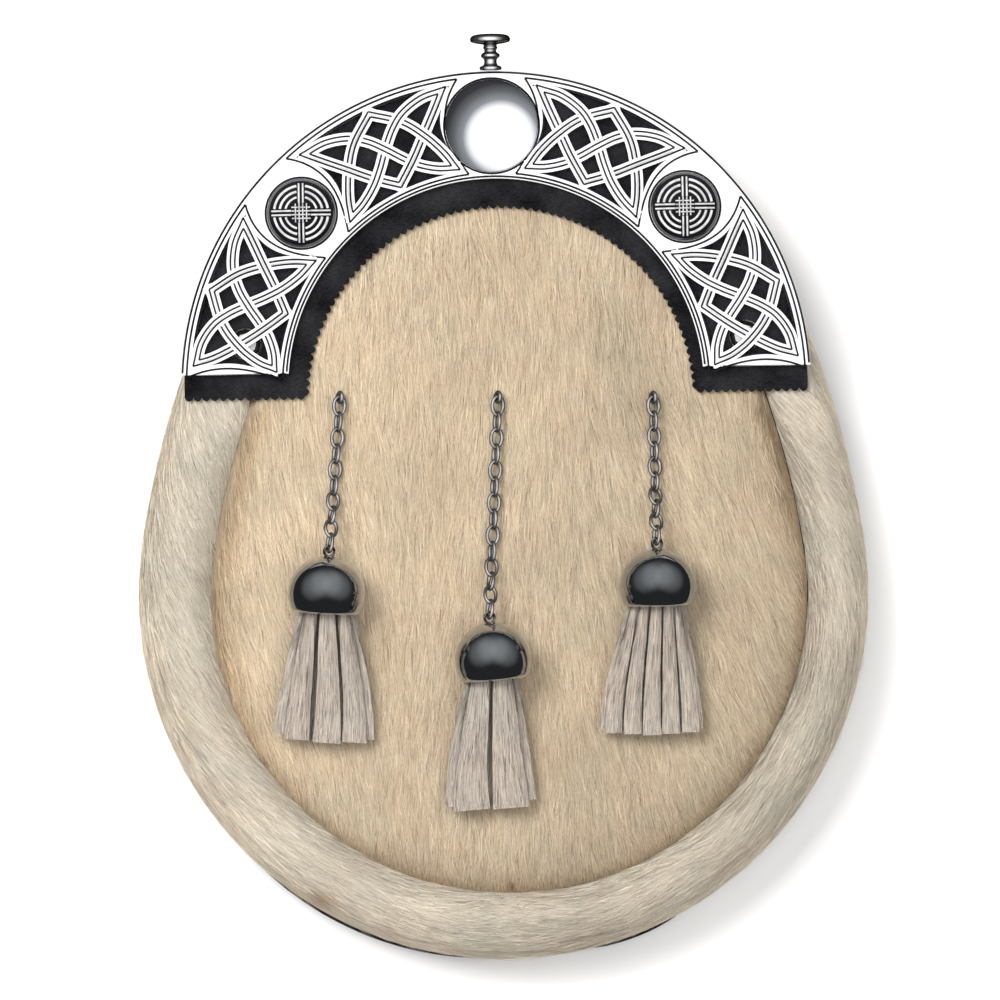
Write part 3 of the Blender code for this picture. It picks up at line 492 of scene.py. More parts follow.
HIGHEST = CANTLE_RISE + (CANTLE_RADIUS + GAP + KNOB_HEIGHT) * math.cos(math.radians(CANTLE_TURN))
BODY_Y = (BODY_RADIUS - HIGHEST) / 2
CANTLE_Y = BODY_Y + CANTLE_RISE
CANTLE_FRAME = Matrix.Translation((-CANTLE_SHIFT, CANTLE_Y, 0)) @ Matrix.Rotation(
    math.radians(CANTLE_TURN), 4, "Z"
)


def shader_of(name):
    """A new Principled material: (material, its node tree, its shader)."""
    made = bpy.data.materials.new(name)
    made.use_nodes = True
    tree = made.node_tree
    return made, tree, tree.nodes["Principled BSDF"]


def node(tree, kind, **settings):
    made = tree.nodes.new(kind)
    for name, value in settings.items():
        if name in made.inputs:
            made.inputs[name].default_value = value
        else:
            setattr(made, name, value)
    return made


def coordinates(tree, stretch=(1, 1, 1)):
    """Object coordinates in millimetres, stretched by axis."""
    source = node(tree, "ShaderNodeTexCoord")
    scaled = node(tree, "ShaderNodeMapping")
    scaled.inputs["Scale"].default_value = [1000 * value for value in stretch]
    tree.links.new(source.outputs["Object"], scaled.inputs["Vector"])
    return scaled.outputs["Vector"]


def noise(tree, vector, scale, detail=3.0, rough=0.6):
    made = node(tree, "ShaderNodeTexNoise")
    made.inputs["Scale"].default_value = scale
    made.inputs["Detail"].default_value = detail
    made.inputs["Roughness"].default_value = rough
    tree.links.new(vector, made.inputs["Vector"])
    return made.outputs["Fac"]


def ramp(tree, value, stops):
    """A colour ramp: stops are (place, (r, g, b))."""
    made = node(tree, "ShaderNodeValToRGB")
    elements = made.color_ramp.elements
    while len(elements) < len(stops):
        elements.new(0.5)
    for element, (place, colour) in zip(elements, stops):
        element.position = place
        element.color = (*colour, 1)
    tree.links.new(value, made.inputs["Fac"])
    return made.outputs["Color"]


def spread(tree, value, low, high):
    """A value from 0 to 1 as a number between two others."""
    made = node(tree, "ShaderNodeMapRange")
    made.inputs["To Min"].default_value = low
    made.inputs["To Max"].default_value = high
    tree.links.new(value, made.inputs["Value"])
    return made.outputs["Result"]


def multiply(tree, first, second):
    made = node(tree, "ShaderNodeMix", data_type="RGBA", blend_type="MULTIPLY")
    made.inputs["Factor"].default_value = 1
    tree.links.new(first, made.inputs["A"])
    tree.links.new(second, made.inputs["B"])
    return made.outputs["Result"]


def wiping(tree):
    """Long marks left by wiping, across the front."""
    return noise(tree, coordinates(tree, (0.25, 1.6, 1)), 0.9, 4)


def bump(tree, shader, height, strength, distance):
    made = node(tree, "ShaderNodeBump")
    made.inputs["Strength"].default_value = strength
    made.inputs["Distance"].default_value = distance * MM
    tree.links.new(height, made.inputs["Height"])
    tree.links.new(made.outputs["Normal"], shader.inputs["Normal"])


def hair_material(name):
    """Hair with the tint of each strand, which carries painted shade and light, and a faint mottle over
    the hide.
    """
    made, tree, shader = shader_of(name)
    tint = node(tree, "ShaderNodeVertexColor", layer_name="tint").outputs["Color"]
    place = coordinates(tree)
    patches = ramp(tree, noise(tree, place, 0.045, 4, 0.65), MOTTLE)
    tree.links.new(multiply(tree, tint, patches), shader.inputs["Base Color"])
    tree.links.new(spread(tree, noise(tree, place, 1.2), 0.45, 0.75), shader.inputs["Roughness"])
    shader.inputs["Specular IOR Level"].default_value = 0.3
    return made


def hide_material(name, dark, light, stretch):
    """The hide under the hair: fine streaks and short tufts."""
    made, tree, shader = shader_of(name)
    place = coordinates(tree, stretch)
    streak = noise(tree, place, 1.6, 5, 0.7)
    tree.links.new(ramp(tree, streak, ((0.3, dark), (0.7, light))), shader.inputs["Base Color"])
    tree.links.new(spread(tree, streak, 0.9, 0.6), shader.inputs["Roughness"])
    shader.inputs["Specular IOR Level"].default_value = 0.2
    bump(tree, shader, streak, 0.6, 0.4)
    return made


def metal_material(name, dark, light, smooth, rough, metallic):
    """Polished metal: a cloudy tone, wiping marks in the gloss and a faint unevenness."""
    made, tree, shader = shader_of(name)
    place = coordinates(tree)
    cloud = noise(tree, place, 0.12, 4)
    tree.links.new(ramp(tree, cloud, ((0.35, dark), (0.65, light))), shader.inputs["Base Color"])
    tree.links.new(spread(tree, wiping(tree), smooth, rough), shader.inputs["Roughness"])
    shader.inputs["Metallic"].default_value = metallic
    bump(tree, shader, noise(tree, place, 0.35, 2), 0.05, 0.12)
    return made


def painted_shine_metal_material(name, levels):
    """Polished metal whose dark and bright bands, painted highlights and shade, follow how far each face
    turns to the front.
    """
    made, tree, shader = shader_of(name)
    turned = node(tree, "ShaderNodeSeparateXYZ")
    tree.links.new(node(tree, "ShaderNodeTexCoord").outputs["Normal"], turned.inputs[0])
    place = coordinates(tree)
    clouds = ((0.38, (0.70, 0.70, 0.71)), (0.58, (1.0, 1.0, 1.0)))
    cloud = ramp(tree, noise(tree, place, 0.45, 3), clouds)
    # Painted highlights and shade: the grey follows how far each face turns to the front.
    toned = ramp(tree, turned.outputs["Z"], [(turn, (level, level, level)) for turn, level in levels])
    tree.links.new(multiply(tree, toned, cloud), shader.inputs["Base Color"])
    tree.links.new(spread(tree, noise(tree, place, 0.9, 4), 0.10, 0.25), shader.inputs["Roughness"])
    shader.inputs["Metallic"].default_value = TONED_METALLIC
    bump(tree, shader, noise(tree, place, 0.8, 2), 0.05, 0.08)
    return made


def disc_material(name):
    """The mirror disc, its reflection painted on: white where it shows the light, dark along its upper
    left.
    """
    made, tree, shader = shader_of(name)
    centre = CANTLE_FRAME @ Vector((0, BOSS_FROM_CENTRE, 0))
    centre += DISC_RADIUS * Vector(DISC_HIGHLIGHT_SHIFT)
    away = node(tree, "ShaderNodeVectorMath", operation="DISTANCE")
    away.inputs[1].default_value = centre / MM
    tree.links.new(coordinates(tree, (1, 1, 0)), away.inputs[0])
    reach = node(tree, "ShaderNodeMapRange")
    for end, radii in zip(("From Min", "From Max"), DISC_HIGHLIGHT_FADE):
        reach.inputs[end].default_value = radii * DISC_RADIUS / MM
    tree.links.new(away.outputs["Value"], reach.inputs["Value"])
    tree.links.new(ramp(tree, reach.outputs["Result"], DISC_REFLECTION_TONES), shader.inputs["Base Color"])
    tree.links.new(spread(tree, wiping(tree), 0.06, 0.16), shader.inputs["Roughness"])
    shader.inputs["Metallic"].default_value = 0.2
    return made


def leather_material(name):
    """Black leather: pebbled grain, worn sheen in patches."""
    made, tree, shader = shader_of(name)
    place = coordinates(tree)
    grain = node(tree, "ShaderNodeTexVoronoi", feature="SMOOTH_F1")
    grain.inputs["Scale"].default_value = 1.5
    grain.inputs["Smoothness"].default_value = 0.6
    tree.links.new(place, grain.inputs["Vector"])
    wear = noise(tree, place, 0.09, 3)
    tone = ((0.35, (0.004, 0.004, 0.005)), (0.70, (0.020, 0.020, 0.022)))
    tree.links.new(ramp(tree, wear, tone), shader.inputs["Base Color"])
    tree.links.new(spread(tree, wear, 0.34, 0.55), shader.inputs["Roughness"])
    shader.inputs["Specular IOR Level"].default_value = 0.35
    bump(tree, shader, grain.outputs["Distance"], 1.0, 0.5)
    return made


def make_materials():
    made = {"disc": disc_material("painted_reflection_chrome"), "leather": leather_material("black_leather_grain")}
    for finish, name in (("cream", "cream_hair"), ("rim", "rim_hair"), ("grey", "tassel_hair")):
        made[finish] = hair_material(name)
    for finish, *settings in HIDES:
        made[finish] = hide_material(*settings)
    for finish, *settings in METALS:
        made[finish] = metal_material(*settings)
    for finish, *settings in PAINTED_SHINE_METALS:
        made[finish] = painted_shine_metal_material(*settings)
    return made


def add_object(name, data):
    made = bpy.data.objects.new(name, data)
    bpy.context.scene.collection.objects.link(made)
    return made


def add_piece(name, points, faces, finishes, slot, replaces=(), marks=None, sharp=True):
    """A mesh piece that rides on the pouch, with its materials and what it stands for."""
    mesh = bpy.data.meshes.new(name)
    mesh.from_pydata(np.asarray(points, dtype=float), [], faces)
    for finish in finishes:
        mesh.materials.append(finish)
    if marks is not None:
        mesh.polygons.foreach_set("material_index", np.asarray(marks, dtype=np.int32))
    mesh.shade_smooth()
    if sharp:
        mesh.set_sharp_from_angle(angle=math.radians(SHARP_ANGLE))
    mesh.update()
    made = add_object(name, mesh)
    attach(made, BODY)
    if replaces:
        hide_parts(*replaces)
    return made


class Shape:
    """Points and faces of one piece, gathered part by part."""

    def __init__(self):
        self.points = []
        self.faces = []
        self.marks = []

    def add(self, points, faces, mark=0, frame=None):
        start = len(self.points)
        if frame is not None:
            points = [frame @ Vector(point) for point in points]
        self.points.extend(tuple(point) for point in points)
        self.faces.extend([[start + corner for corner in face] for face in faces])
        self.marks.extend([mark] * len(faces))

    def loft(self, rings, closed=False, mark=0, frame=None):
        """Quads through rings of as many points each."""
        count = len(rings[0])
        faces = []
        last = len(rings) if closed else len(rings) - 1
        for row in range(last):
            after = (row + 1) % len(rings)
            for i in range(count):
                j = (i + 1) % count
                faces.append((row * count + i, row * count + j, after * count + j, after * count + i))
        if not closed:
            faces.append(tuple(range(count))[::-1])
            faces.append(tuple((len(rings) - 1) * count + i for i in range(count)))
        self.add([point for ring in rings for point in ring], faces, mark, frame)

    def turned(self, profile, sides, mark=0, frame=None):
        angles = [2 * math.pi * i / sides for i in range(sides)]
        rings = [[(*point, z) for point in arc(r, angles)] for r, z in profile]
        self.loft(rings, mark=mark, frame=frame)

    def band(self, path, width, low, high, mark=0, frame=None, round_top=0):
        """A band along a flat path, from a low to a high height, its top flat or rounded."""
        path = np.asarray(path, dtype=float)
        side = sideways(path) * width / 2
        high = np.broadcast_to(high, len(path))
        section = [(-1, 1), (1, 1)]
        if round_top:
            turns = np.linspace(0, math.pi, round_top + 1)
            section = [(-math.cos(a), max(math.sin(a), 0.05)) for a in turns]
        rings = []
        for point, out, top in zip(path, side, high):
            ring = [(*(point + out), low), (*(point - out), low)]
            for across, rise in section:
                ring.append((*(point + out * across), low + (top - low) * rise))
            rings.append(ring)
        self.loft(rings, mark=mark, frame=frame)

    def tube(self, path, radius, sides=8, closed=False, frame=None):
        """A round wire along a path in space that never runs straight up."""
        path = [Vector(point) for point in path]
        rings = []
        for i, point in enumerate(path):
            before = path[i - 1] if closed or i else path[i]
            after = path[(i + 1) % len(path)] if closed or i + 1 < len(path) else path[i]
            along = (after - before).normalized()
            across = along.cross(Vector((0, 0, 1))).normalized()
            up = across.cross(along)
            turns = [2 * math.pi * k / sides for k in range(sides)]
            rings.append([point + radius * (math.cos(a) * across + math.sin(a) * up) for a in turns])
        self.loft(rings, closed=closed, frame=frame)

    def piece(self, name, finishes, **settings):
        made = add_piece(name, self.points, self.faces, finishes, marks=self.marks, **settings)
        bm = bmesh.new()
        bm.from_mesh(made.data)
        bmesh.ops.recalc_face_normals(bm, faces=bm.faces)
        bm.to_mesh(made.data)
        bm.free()
        return made


def sideways(path):
    """The left-hand normal at each point of a flat path."""
    along = np.gradient(path, axis=0)
    along /= np.linalg.norm(along, axis=1, keepdims=True)
    return np.stack([-along[:, 1], along[:, 0]], axis=1)


def smoothstep(value):
    value = np.clip(value, 0, 1)
    return value * value * (3 - 2 * value)


def polar(radius, angle):
    """A point of the cantle's frame, its angle in degrees from the top towards +X."""
    return np.array([radius * math.sin(math.radians(angle)), radius * math.cos(math.radians(angle))])


def arc(radius, turns):
    """Points round the origin at angles in radians."""
    return [(radius * math.cos(a), radius * math.sin(a)) for a in turns]


def curve_through(points, steps, closed=False):
    """A dense Catmull-Rom curve through points."""
    points = np.asarray(points, dtype=float)
    if closed:
        ring = np.concatenate([points[-1:], points, points[:2]])
    else:
        ring = np.concatenate([2 * points[:1] - points[1:2], points, 2 * points[-1:] - points[-2:-1]])
    made = []
    for a, b, c, d in zip(ring, ring[1:], ring[2:], ring[3:]):
        square = 2 * a - 5 * b + 4 * c - d
        cube = 3 * b - a - 3 * c + d
        for step in range(steps):
            t = step / steps
            made.append(0.5 * (2 * b + (c - a) * t + square * t**2 + cube * t**3))
    if not closed:
        made.append(points[-1])
    return np.array(made)


def outline_table():
    """Dense points of the pouch's outline and their outward normals, from the foot up the right side."""
    to_body = SHOULDER_RADIUS - BODY_RADIUS
    to_head = SHOULDER_RADIUS - HEAD_RADIUS
    up = (to_body**2 - to_head**2 + CANTLE_RISE**2) / (2 * CANTLE_RISE)
    shoulder = np.array([-math.sqrt(to_body**2 - up**2), up])
    low = math.atan2(-shoulder[1], -shoulder[0])
    high = math.atan2(CANTLE_RISE - shoulder[1], -shoulder[0])
    rows = []
    for normal in np.linspace(-math.pi / 2, math.pi / 2, OUTLINE_STEPS):
        if normal < low:
            centre, radius = np.zeros(2), BODY_RADIUS
        elif normal > high:
            centre, radius = np.array([0, CANTLE_RISE]), HEAD_RADIUS
        else:
            centre, radius = shoulder, SHOULDER_RADIUS
        out = np.array([math.cos(normal), math.sin(normal)])
        rows.append([*(centre + radius * out), *out])
    right = np.array(rows)
    left = right[-2:0:-1] * (-1, 1, -1, 1)
    table = np.concatenate([right, left, right[:1]])
    table[:, 1] += BODY_Y
    length = np.concatenate([[0], np.cumsum(np.hypot(*np.diff(table[:, :2], axis=0).T))])
    return length / length[-1], table


OUTLINE_SHARE, OUTLINE_TABLE = outline_table()
PROFILE = curve_through(GUSSET_PROFILE, 8, closed=True)
PROFILE = np.concatenate([PROFILE, PROFILE[:1]])


def outline(share, inset):
    """Points of the pouch's outline by share of its length, moved inwards."""
    x, y, nx, ny = (np.interp(share % 1, OUTLINE_SHARE, column) for column in OUTLINE_TABLE.T)
    return x - nx * inset, y - ny * inset


def roll_width(share):
    return ROLL_WIDTH - ROLL_SWING * np.interp(share % 1, OUTLINE_SHARE, OUTLINE_TABLE[:, 2])


def pressed(x, y, height):
    """A height of the front, held down where the cantle's leather sits on it."""
    across = x + CANTLE_SHIFT - LEATHER_OPENING_SHIFT
    opening = LEATHER_OPENING_RADIUS - TOOTH_DEPTH
    tilt_drop = CANTLE_RADIUS * math.sin(math.radians(CANTLE_TURN))
    foot = CANTLE_Y + CANTLE_FOOT - LEATHER_DROP - TOOTH_DEPTH - tilt_drop
    above = opening - np.hypot(across, y - CANTLE_Y + LEATHER_OPENING_DROP)
    below = np.hypot(np.maximum(opening - np.abs(across), 0), foot - y)
    rise = smoothstep((np.where(y >= foot, above, below) - PRESS_START) / PRESS_RUN)
    limit = SEAT_HEIGHT - GAP
    return np.minimum(height, limit + (PANEL_CREST - limit) * rise)


def back_height(y):
    return BACK_STEP * smoothstep((y - CANTLE_Y + BACK_BEND_DROP) / BACK_BEND_LENGTH)


def rim_point(share, turn):
    """Points of the padded rim, by share round the pouch and share round its section."""
    steps = np.linspace(0, 1, len(PROFILE))
    inset = np.interp(turn % 1, steps, PROFILE[:, 0])
    height = np.interp(turn % 1, steps, PROFILE[:, 1])
    x, y = outline(share, inset * roll_width(share))
    base = back_height(y) + BACK_THICKNESS + GAP
    return np.stack([x, y, pressed(x, y, base + height * (ROLL_CREST - base))], axis=-1)


PANEL_CENTRE = np.array([0, BODY_Y + PANEL_CENTRE_RISE])
PANEL_EDGE_X, PANEL_EDGE_Y = outline(OUTLINE_SHARE, roll_width(OUTLINE_SHARE) + GAP)
PANEL_EDGE_ANGLE = np.unwrap(np.arctan2(PANEL_EDGE_Y - PANEL_CENTRE[1], PANEL_EDGE_X - PANEL_CENTRE[0]))
PANEL_EDGE_REACH = np.hypot(PANEL_EDGE_X - PANEL_CENTRE[0], PANEL_EDGE_Y - PANEL_CENTRE[1])
RISE_CURVE = curve_through(PANEL_RISE, 6)


def panel_inward(x, y):
    """How far in from the crease a point lies: 0 at the crease, 1 at the panel's centre."""
    angle = np.arctan2(y - PANEL_CENTRE[1], x - PANEL_CENTRE[0])
    start = PANEL_EDGE_ANGLE[0]
    angle = start + (angle - start) % (2 * math.pi)
    reach = np.interp(angle, PANEL_EDGE_ANGLE, PANEL_EDGE_REACH)
    return 1 - np.hypot(x - PANEL_CENTRE[0], y - PANEL_CENTRE[1]) / reach


def panel_point(x, y):
    """Points of the front panel over x and y."""
    base = BACK_THICKNESS + GAP
    crease = base + CREASE * (ROLL_CREST - base)
    rise = np.interp(panel_inward(x, y), RISE_CURVE[:, 0], RISE_CURVE[:, 1])
    return np.stack([x, y, pressed(x, y, crease + rise * (PANEL_CREST - crease))], axis=-1)


def add_rim(finish):
    stations = np.arange(RIM_STATIONS) / RIM_STATIONS
    share, turn = np.meshgrid(stations, np.arange(RIM_SECTION) / RIM_SECTION, indexing="ij")
    points = rim_point(share.ravel(), turn.ravel())
    faces = []
    for i in range(RIM_STATIONS):
        here = i * RIM_SECTION
        after = (i + 1) % RIM_STATIONS * RIM_SECTION
        for k in range(RIM_SECTION):
            m = (k + 1) % RIM_SECTION
            faces.append((here + k, after + k, after + m, here + m))
    rim = add_piece("padded_rim", points, faces, [finish], "rim_hide", ["rim_gusset"])


def add_panel(finish):
    share = np.arange(PANEL_STATIONS) / PANEL_STATIONS
    edge_x, edge_y = outline(share, roll_width(share) + GAP)
    shape = Shape()
    rings = []
    for inward in np.linspace(0, 1, PANEL_RINGS) ** 2:
        inward = min(inward, PANEL_INNERMOST)
        x = edge_x + (PANEL_CENTRE[0] - edge_x) * inward
        y = edge_y + (PANEL_CENTRE[1] - edge_y) * inward
        rings.append(panel_point(x, y))
    under = [ring - (0, 0, PANEL_THICKNESS) for ring in rings[::UNDERSIDE_STEP]]
    shape.loft([*rings[::-1], *under])
    panel = shape.piece("crowned_front", [finish], replaces=["front_panel"], slot="cream_hide")


def grow(name, roots, step, lift, finish, tints, slot, width, length):
    """Hair as flat tapering blades.

    step(roots, reach) gives the point and normal of the surface that far along, and which blades to keep.
    """
    start, normal, _ = step(roots, np.zeros(len(length)))
    middle, normal_middle, _ = step(roots, 0.5 * length)
    tip, normal_tip, kept = step(roots, length)
    count = len(length)
    rise = lift * RANDOM.uniform(0.5, 1.5, count) * MM
    stray = RANDOM.random(count) < STRAY_SHARE
    rise[stray] *= STRAY_LIFT
    middle = middle + normal_middle * (MIDDLE_LIFT * rise)[:, None]
    tip = tip + normal_tip * rise[:, None]
    along = tip - start
    along /= np.linalg.norm(along, axis=1, keepdims=True)
    side = np.cross(normal, along)
    roll = RANDOM.normal(0, BLADE_ROLL, count)[:, None]
    side = side * np.cos(roll) + np.cross(along, side) * np.sin(roll)
    side *= (width * RANDOM.uniform(0.6, 1.15, count) / 2 * MM)[:, None]
    half = side * MIDDLE_WIDTH
    end = side * TIP_WIDTH
    points = [start - side, start + side, middle + half, middle - half, tip + end, tip - end]
    points = np.stack(points, axis=1)[kept]
    tints = tints[kept]
    blades = len(points)
    corners = 6 * np.arange(blades)[:, None]
    faces = np.concatenate([corners + (0, 1, 2, 3), corners + (3, 2, 4, 5)])
    made = add_piece(name, points.reshape(-1, 3), faces.tolist(), [finish], slot, sharp=False)
    # Painted shade along each blade: darker at the root, lighter at the tip.
    shade = np.repeat(BLADE_PAINTED_SHADES, 2)
    colours = np.ones((blades, 6, 4))
    colours[:, :, :3] = tints[:, None, :] * shade[None, :, None]
    layer = made.data.color_attributes.new("tint", "FLOAT_COLOR", "POINT")
    layer.data.foreach_set("color", colours.ravel())


def waves(x, y, strength, size, seed):
    """A smooth wandering value over the hide, from a few waves."""
    own = np.random.default_rng(seed)
    total = np.zeros_like(x)
    for _ in range(WAVES):
        angle = own.uniform(0, 2 * math.pi)
        pace = own.uniform(0.6, 1.6) / size
        along = x * math.cos(angle) + y * math.sin(angle)
        total += np.sin(along * pace * 2 * math.pi + own.uniform(0, 6.28))
    return strength * (total / (WAVES / 2))


def strand_tints(count, rows, scatter):
    """A colour for each strand from a few, each a little lighter or darker."""
    rows = np.array(rows)
    tints = rows[RANDOM.choice(len(rows), count, p=rows[:, 0]), 1:]
    return tints * RANDOM.normal(1, scatter, count).clip(0.6, 1.35)[:, None]


def in_cantle_frame(x, y):
    """Points in the cantle's own frame."""
    angle = math.radians(-CANTLE_TURN)
    x, y = x + CANTLE_SHIFT, y - CANTLE_Y
    return x * math.cos(angle) - y * math.sin(angle), x * math.sin(angle) + y * math.cos(angle)


def under_leather(x, y, margin):
    """Whether points lie under the cantle's leather, grown by a margin."""
    x, y = in_cantle_frame(x, y)
    above_foot = y > CANTLE_FOOT - LEATHER_DROP - margin
    from_centre = np.hypot(x - LEATHER_OPENING_SHIFT, y + LEATHER_OPENING_DROP)
    return above_foot & (from_centre >= LEATHER_OPENING_RADIUS - margin)


def marked(x, y, mark):
    """How strongly a mark on the hide shows at points of it, as a column from 0 to 1."""
    centre_x, centre_y, wide, high = mark
    return np.exp(-(((x - centre_x) / wide) ** 2 + ((y - centre_y) / high) ** 2))[:, None]


def panel_lean(x, y):
    """The lean of the front's hair to the right of straight down, in radians."""
    across = np.interp(x / MM, *PANEL_LEAN)
    calm = CALM_SHARE + (1 - CALM_SHARE) * smoothstep((CALM_FROM - y / MM) / CALM_RUN)
    return np.radians(across * calm + waves(x, y, *PANEL_SWEEP) + waves(x, y, *PANEL_WISP))


def panel_hair(coat, finish):
    count, short, long, width, lift, scatter, tone_scatter = PANEL_HAIR
    x = RANDOM.uniform(-SOWN_ACROSS, SOWN_ACROSS, 3 * count)
    y = RANDOM.uniform(-SOWN_DOWN, SOWN_UP, 3 * count)
    inside = (panel_inward(x, y) > CREASE_MARGIN) & ~under_leather(x, y, -ROOT_MARGIN)
    x, y = x[inside][:count], y[inside][:count]
    length = RANDOM.uniform(short, long, len(x)) * MM
    lean = panel_lean(x, y) + RANDOM.normal(0, scatter, len(x))
    for _ in range(SHORTENINGS):
        tip_x, tip_y = x + length * np.sin(lean), y - length * np.cos(lean)
        length = np.where(panel_inward(tip_x, tip_y) < CREASE_MARGIN, SHORTENED * length, length)

    def step(roots, along):
        root_x, root_y = roots
        turned = lean + waves(root_x, root_y, *PANEL_CURL) * along / length
        at_x, at_y = root_x + along * np.sin(turned), root_y - along * np.cos(turned)
        kept = (panel_inward(at_x, at_y) > 0) & ~under_leather(at_x, at_y, PANEL_TIP_MARGIN)
        point = panel_point(at_x, at_y)
        slope_x = (panel_point(at_x + SLOPE_STEP, at_y) - point)[:, 2] / SLOPE_STEP
        slope_y = (panel_point(at_x, at_y + SLOPE_STEP) - point)[:, 2] / SLOPE_STEP
        normal = np.stack([-slope_x, -slope_y, np.ones_like(slope_x)], axis=1)
        return point, normal / np.linalg.norm(normal, axis=1, keepdims=True), kept

    tints = strand_tints(len(x), CREAM_TINTS, tone_scatter)
    # Random patches, and painted shade that darkens the hair to the right and down.
    tints *= (1 + waves(x, y, *PANEL_PATCHES) - PAINTED_SHADE_RIGHT * x + PAINTED_SHADE_DOWN * np.minimum(y, 0))[:, None]
    # Painted shade: the front's hair darkens towards the crease.
    edge = smoothstep(1 - panel_inward(x, y) / CREASE_SHADE_REACH)[:, None]
    tints *= 1 - edge * CREASE_SHADE
    tints *= 1 - marked(x, y, NOTCH) * NOTCH_ON_FRONT
    grow(f"front_hair_{coat}", (x, y), step, lift, finish, tints, "cream_hide", width, length)


def rim_lean(share, x, y):
    """The turn of the rim's hair inwards from straight down along it, in radians."""
    height = y / MM
    left = np.interp(height, RIM_LEAN_HEIGHTS, RIM_LEAN_LEFT)
    right = np.interp(height, RIM_LEAN_HEIGHTS, RIM_LEAN_RIGHT)
    return np.radians(np.where(share > 0.5, left, right) + waves(x, y, *RIM_SWEEP))


def rim_hair(coat, finish):
    count, short, long, width, lift, scatter, tone_scatter = RIM_HAIR
    rows = len(GUSSET_PROFILE)
    share = RANDOM.random(2 * count)
    turn = RANDOM.uniform(RIM_ROOTS[0] / rows, RIM_ROOTS[1] / rows, 2 * count)
    x, y, _ = rim_point(share, turn).T
    open_sky = ~under_leather(x, y, ROOT_MARGIN) | (turn < RIM_SHELTERED / rows)
    share, turn = share[open_sky][:count], turn[open_sky][:count]
    x, y, _ = rim_point(share, turn).T
    length = RANDOM.uniform(short, long, len(x)) * MM
    down = np.where(share + RANDOM.normal(0, PARTING_SPREAD, len(x)) > 0.5, 1.0, -1.0)
    lean = rim_lean(share, x, y) + RANDOM.normal(0, scatter, len(x))
    small = SHARE_STEP
    along_pace = np.linalg.norm(rim_point(share + small, turn) - rim_point(share, turn), axis=1) / small
    across_pace = np.linalg.norm(rim_point(share, turn + small) - rim_point(share, turn), axis=1) / small

    def step(roots, along):
        at = roots[0] + down * along * np.cos(lean) / along_pace
        around = roots[1] + along * np.sin(lean) / across_pace
        around = np.clip(around, RIM_REACH[0] / rows, RIM_REACH[1] / rows)
        point = rim_point(at, around)
        side = rim_point(at + small, around) - point
        up = rim_point(at, around + small) - point
        normal = np.cross(side, up)
        normal /= np.linalg.norm(normal, axis=1, keepdims=True) + TINY
        sheltered = point[:, 2] < SEAT_HEIGHT - RIM_SHELTER_DROP
        kept = ~under_leather(point[:, 0], point[:, 1], RIM_TIP_MARGIN) | sheltered
        return point, normal, kept

    tints = strand_tints(len(x), RIM_TINTS, tone_scatter)
    tints *= (1 + waves(x, y, *RIM_PATCHES))[:, None]
    tints *= 1 - marked(x, y, STAIN) * STAIN_DARKNESS
    tints *= 1 - marked(x, y, NOTCH) * NOTCH_ON_RIM
    # Painted light on the rim's outer side and on its slope down to the crease.
    outer = smoothstep((PAINTED_LIGHT_OUTER_END - rows * turn) / PAINTED_LIGHT_OUTER_RUN)
    inner = smoothstep(rows * turn - PAINTED_LIGHT_INNER_START)
    tints *= (1 + PAINTED_LIGHT_OUTER * outer + PAINTED_LIGHT_INNER * inner)[:, None]
    grow(f"rim_hair_{coat}", (share, turn), step, lift, finish, tints, "rim_hide", width, length)


def opening_point(panel, side, along, across, margin=OPENING_MARGIN, grow_by=0.0):
    """A point of a pierced panel, from its shares along and across, on the left (-1) or right (1)."""
    far, far_bow = PANELS[panel]
    towards = -1 if panel == 0 else 1
    bow = 4 * across * (1 - across)
    corner = NEAR_CORNER_INNER + (NEAR_CORNER_OUTER - NEAR_CORNER_INNER) * across
    near_angle = BOSS_ANGLE + towards * (corner + NEAR_BOW * bow - grow_by)
    far_angle = far + far_bow * bow + towards * grow_by
    inner = CANTLE_INNER_RADIUS + margin
    outer = CANTLE_RADIUS - margin
    return polar(inner + (outer - inner) * across, side * (near_angle + (far_angle - near_angle) * along))


def opening_outline(panel, side, steps, margin=OPENING_MARGIN, grow_by=0.0):
    shares = [i / steps for i in range(steps)]
    corners = [(s, 0) for s in shares] + [(1, s) for s in shares]
    corners += [(1 - s, 1) for s in shares] + [(0, 1 - s) for s in shares]
    return [opening_point(panel, side, *corner, margin, grow_by) for corner in corners]


def knot_paths(panel, side):
    """Dense centre lines of the six strands of one knot."""
    shares = []
    for flip_along in (False, True):
        for flip_across in (False, True):
            strand = [(1 - a if flip_along else a, 1 - c if flip_across else c) for a, c in SIDE_STRAND]
            shares.append(strand)
    shares.append(list(DIAGONAL_STRAND))
    shares.append([(a, 1 - c) for a, c in DIAGONAL_STRAND])
    strands = [[opening_point(panel, side, *share) for share in strand] for strand in shares]
    return [curve_through(strand, KNOT_STEPS) for strand in strands]


def nearest(points, path):
    """The distance from each point to a path's points."""
    return np.min(np.linalg.norm(points[:, None, :] - path[None, :, :], axis=2), axis=1)


def mitres(paths):
    """Where strands meet end to end: for each strand, rows of (corner, the way out of its side)."""
    ends = []
    for number, path in enumerate(paths):
        for last, before in ((path[0], path[1]), (path[-1], path[-2])):
            ends.append((number, last, (last - before) / np.linalg.norm(last - before)))
    found = [[] for _ in paths]
    for number, point, along in ends:
        for other, other_point, other_along in ends:
            if other != number and np.linalg.norm(point - other_point) < MEETING_REACH:
                found[number].append(((point + other_point) / 2, along - other_along))
    return found


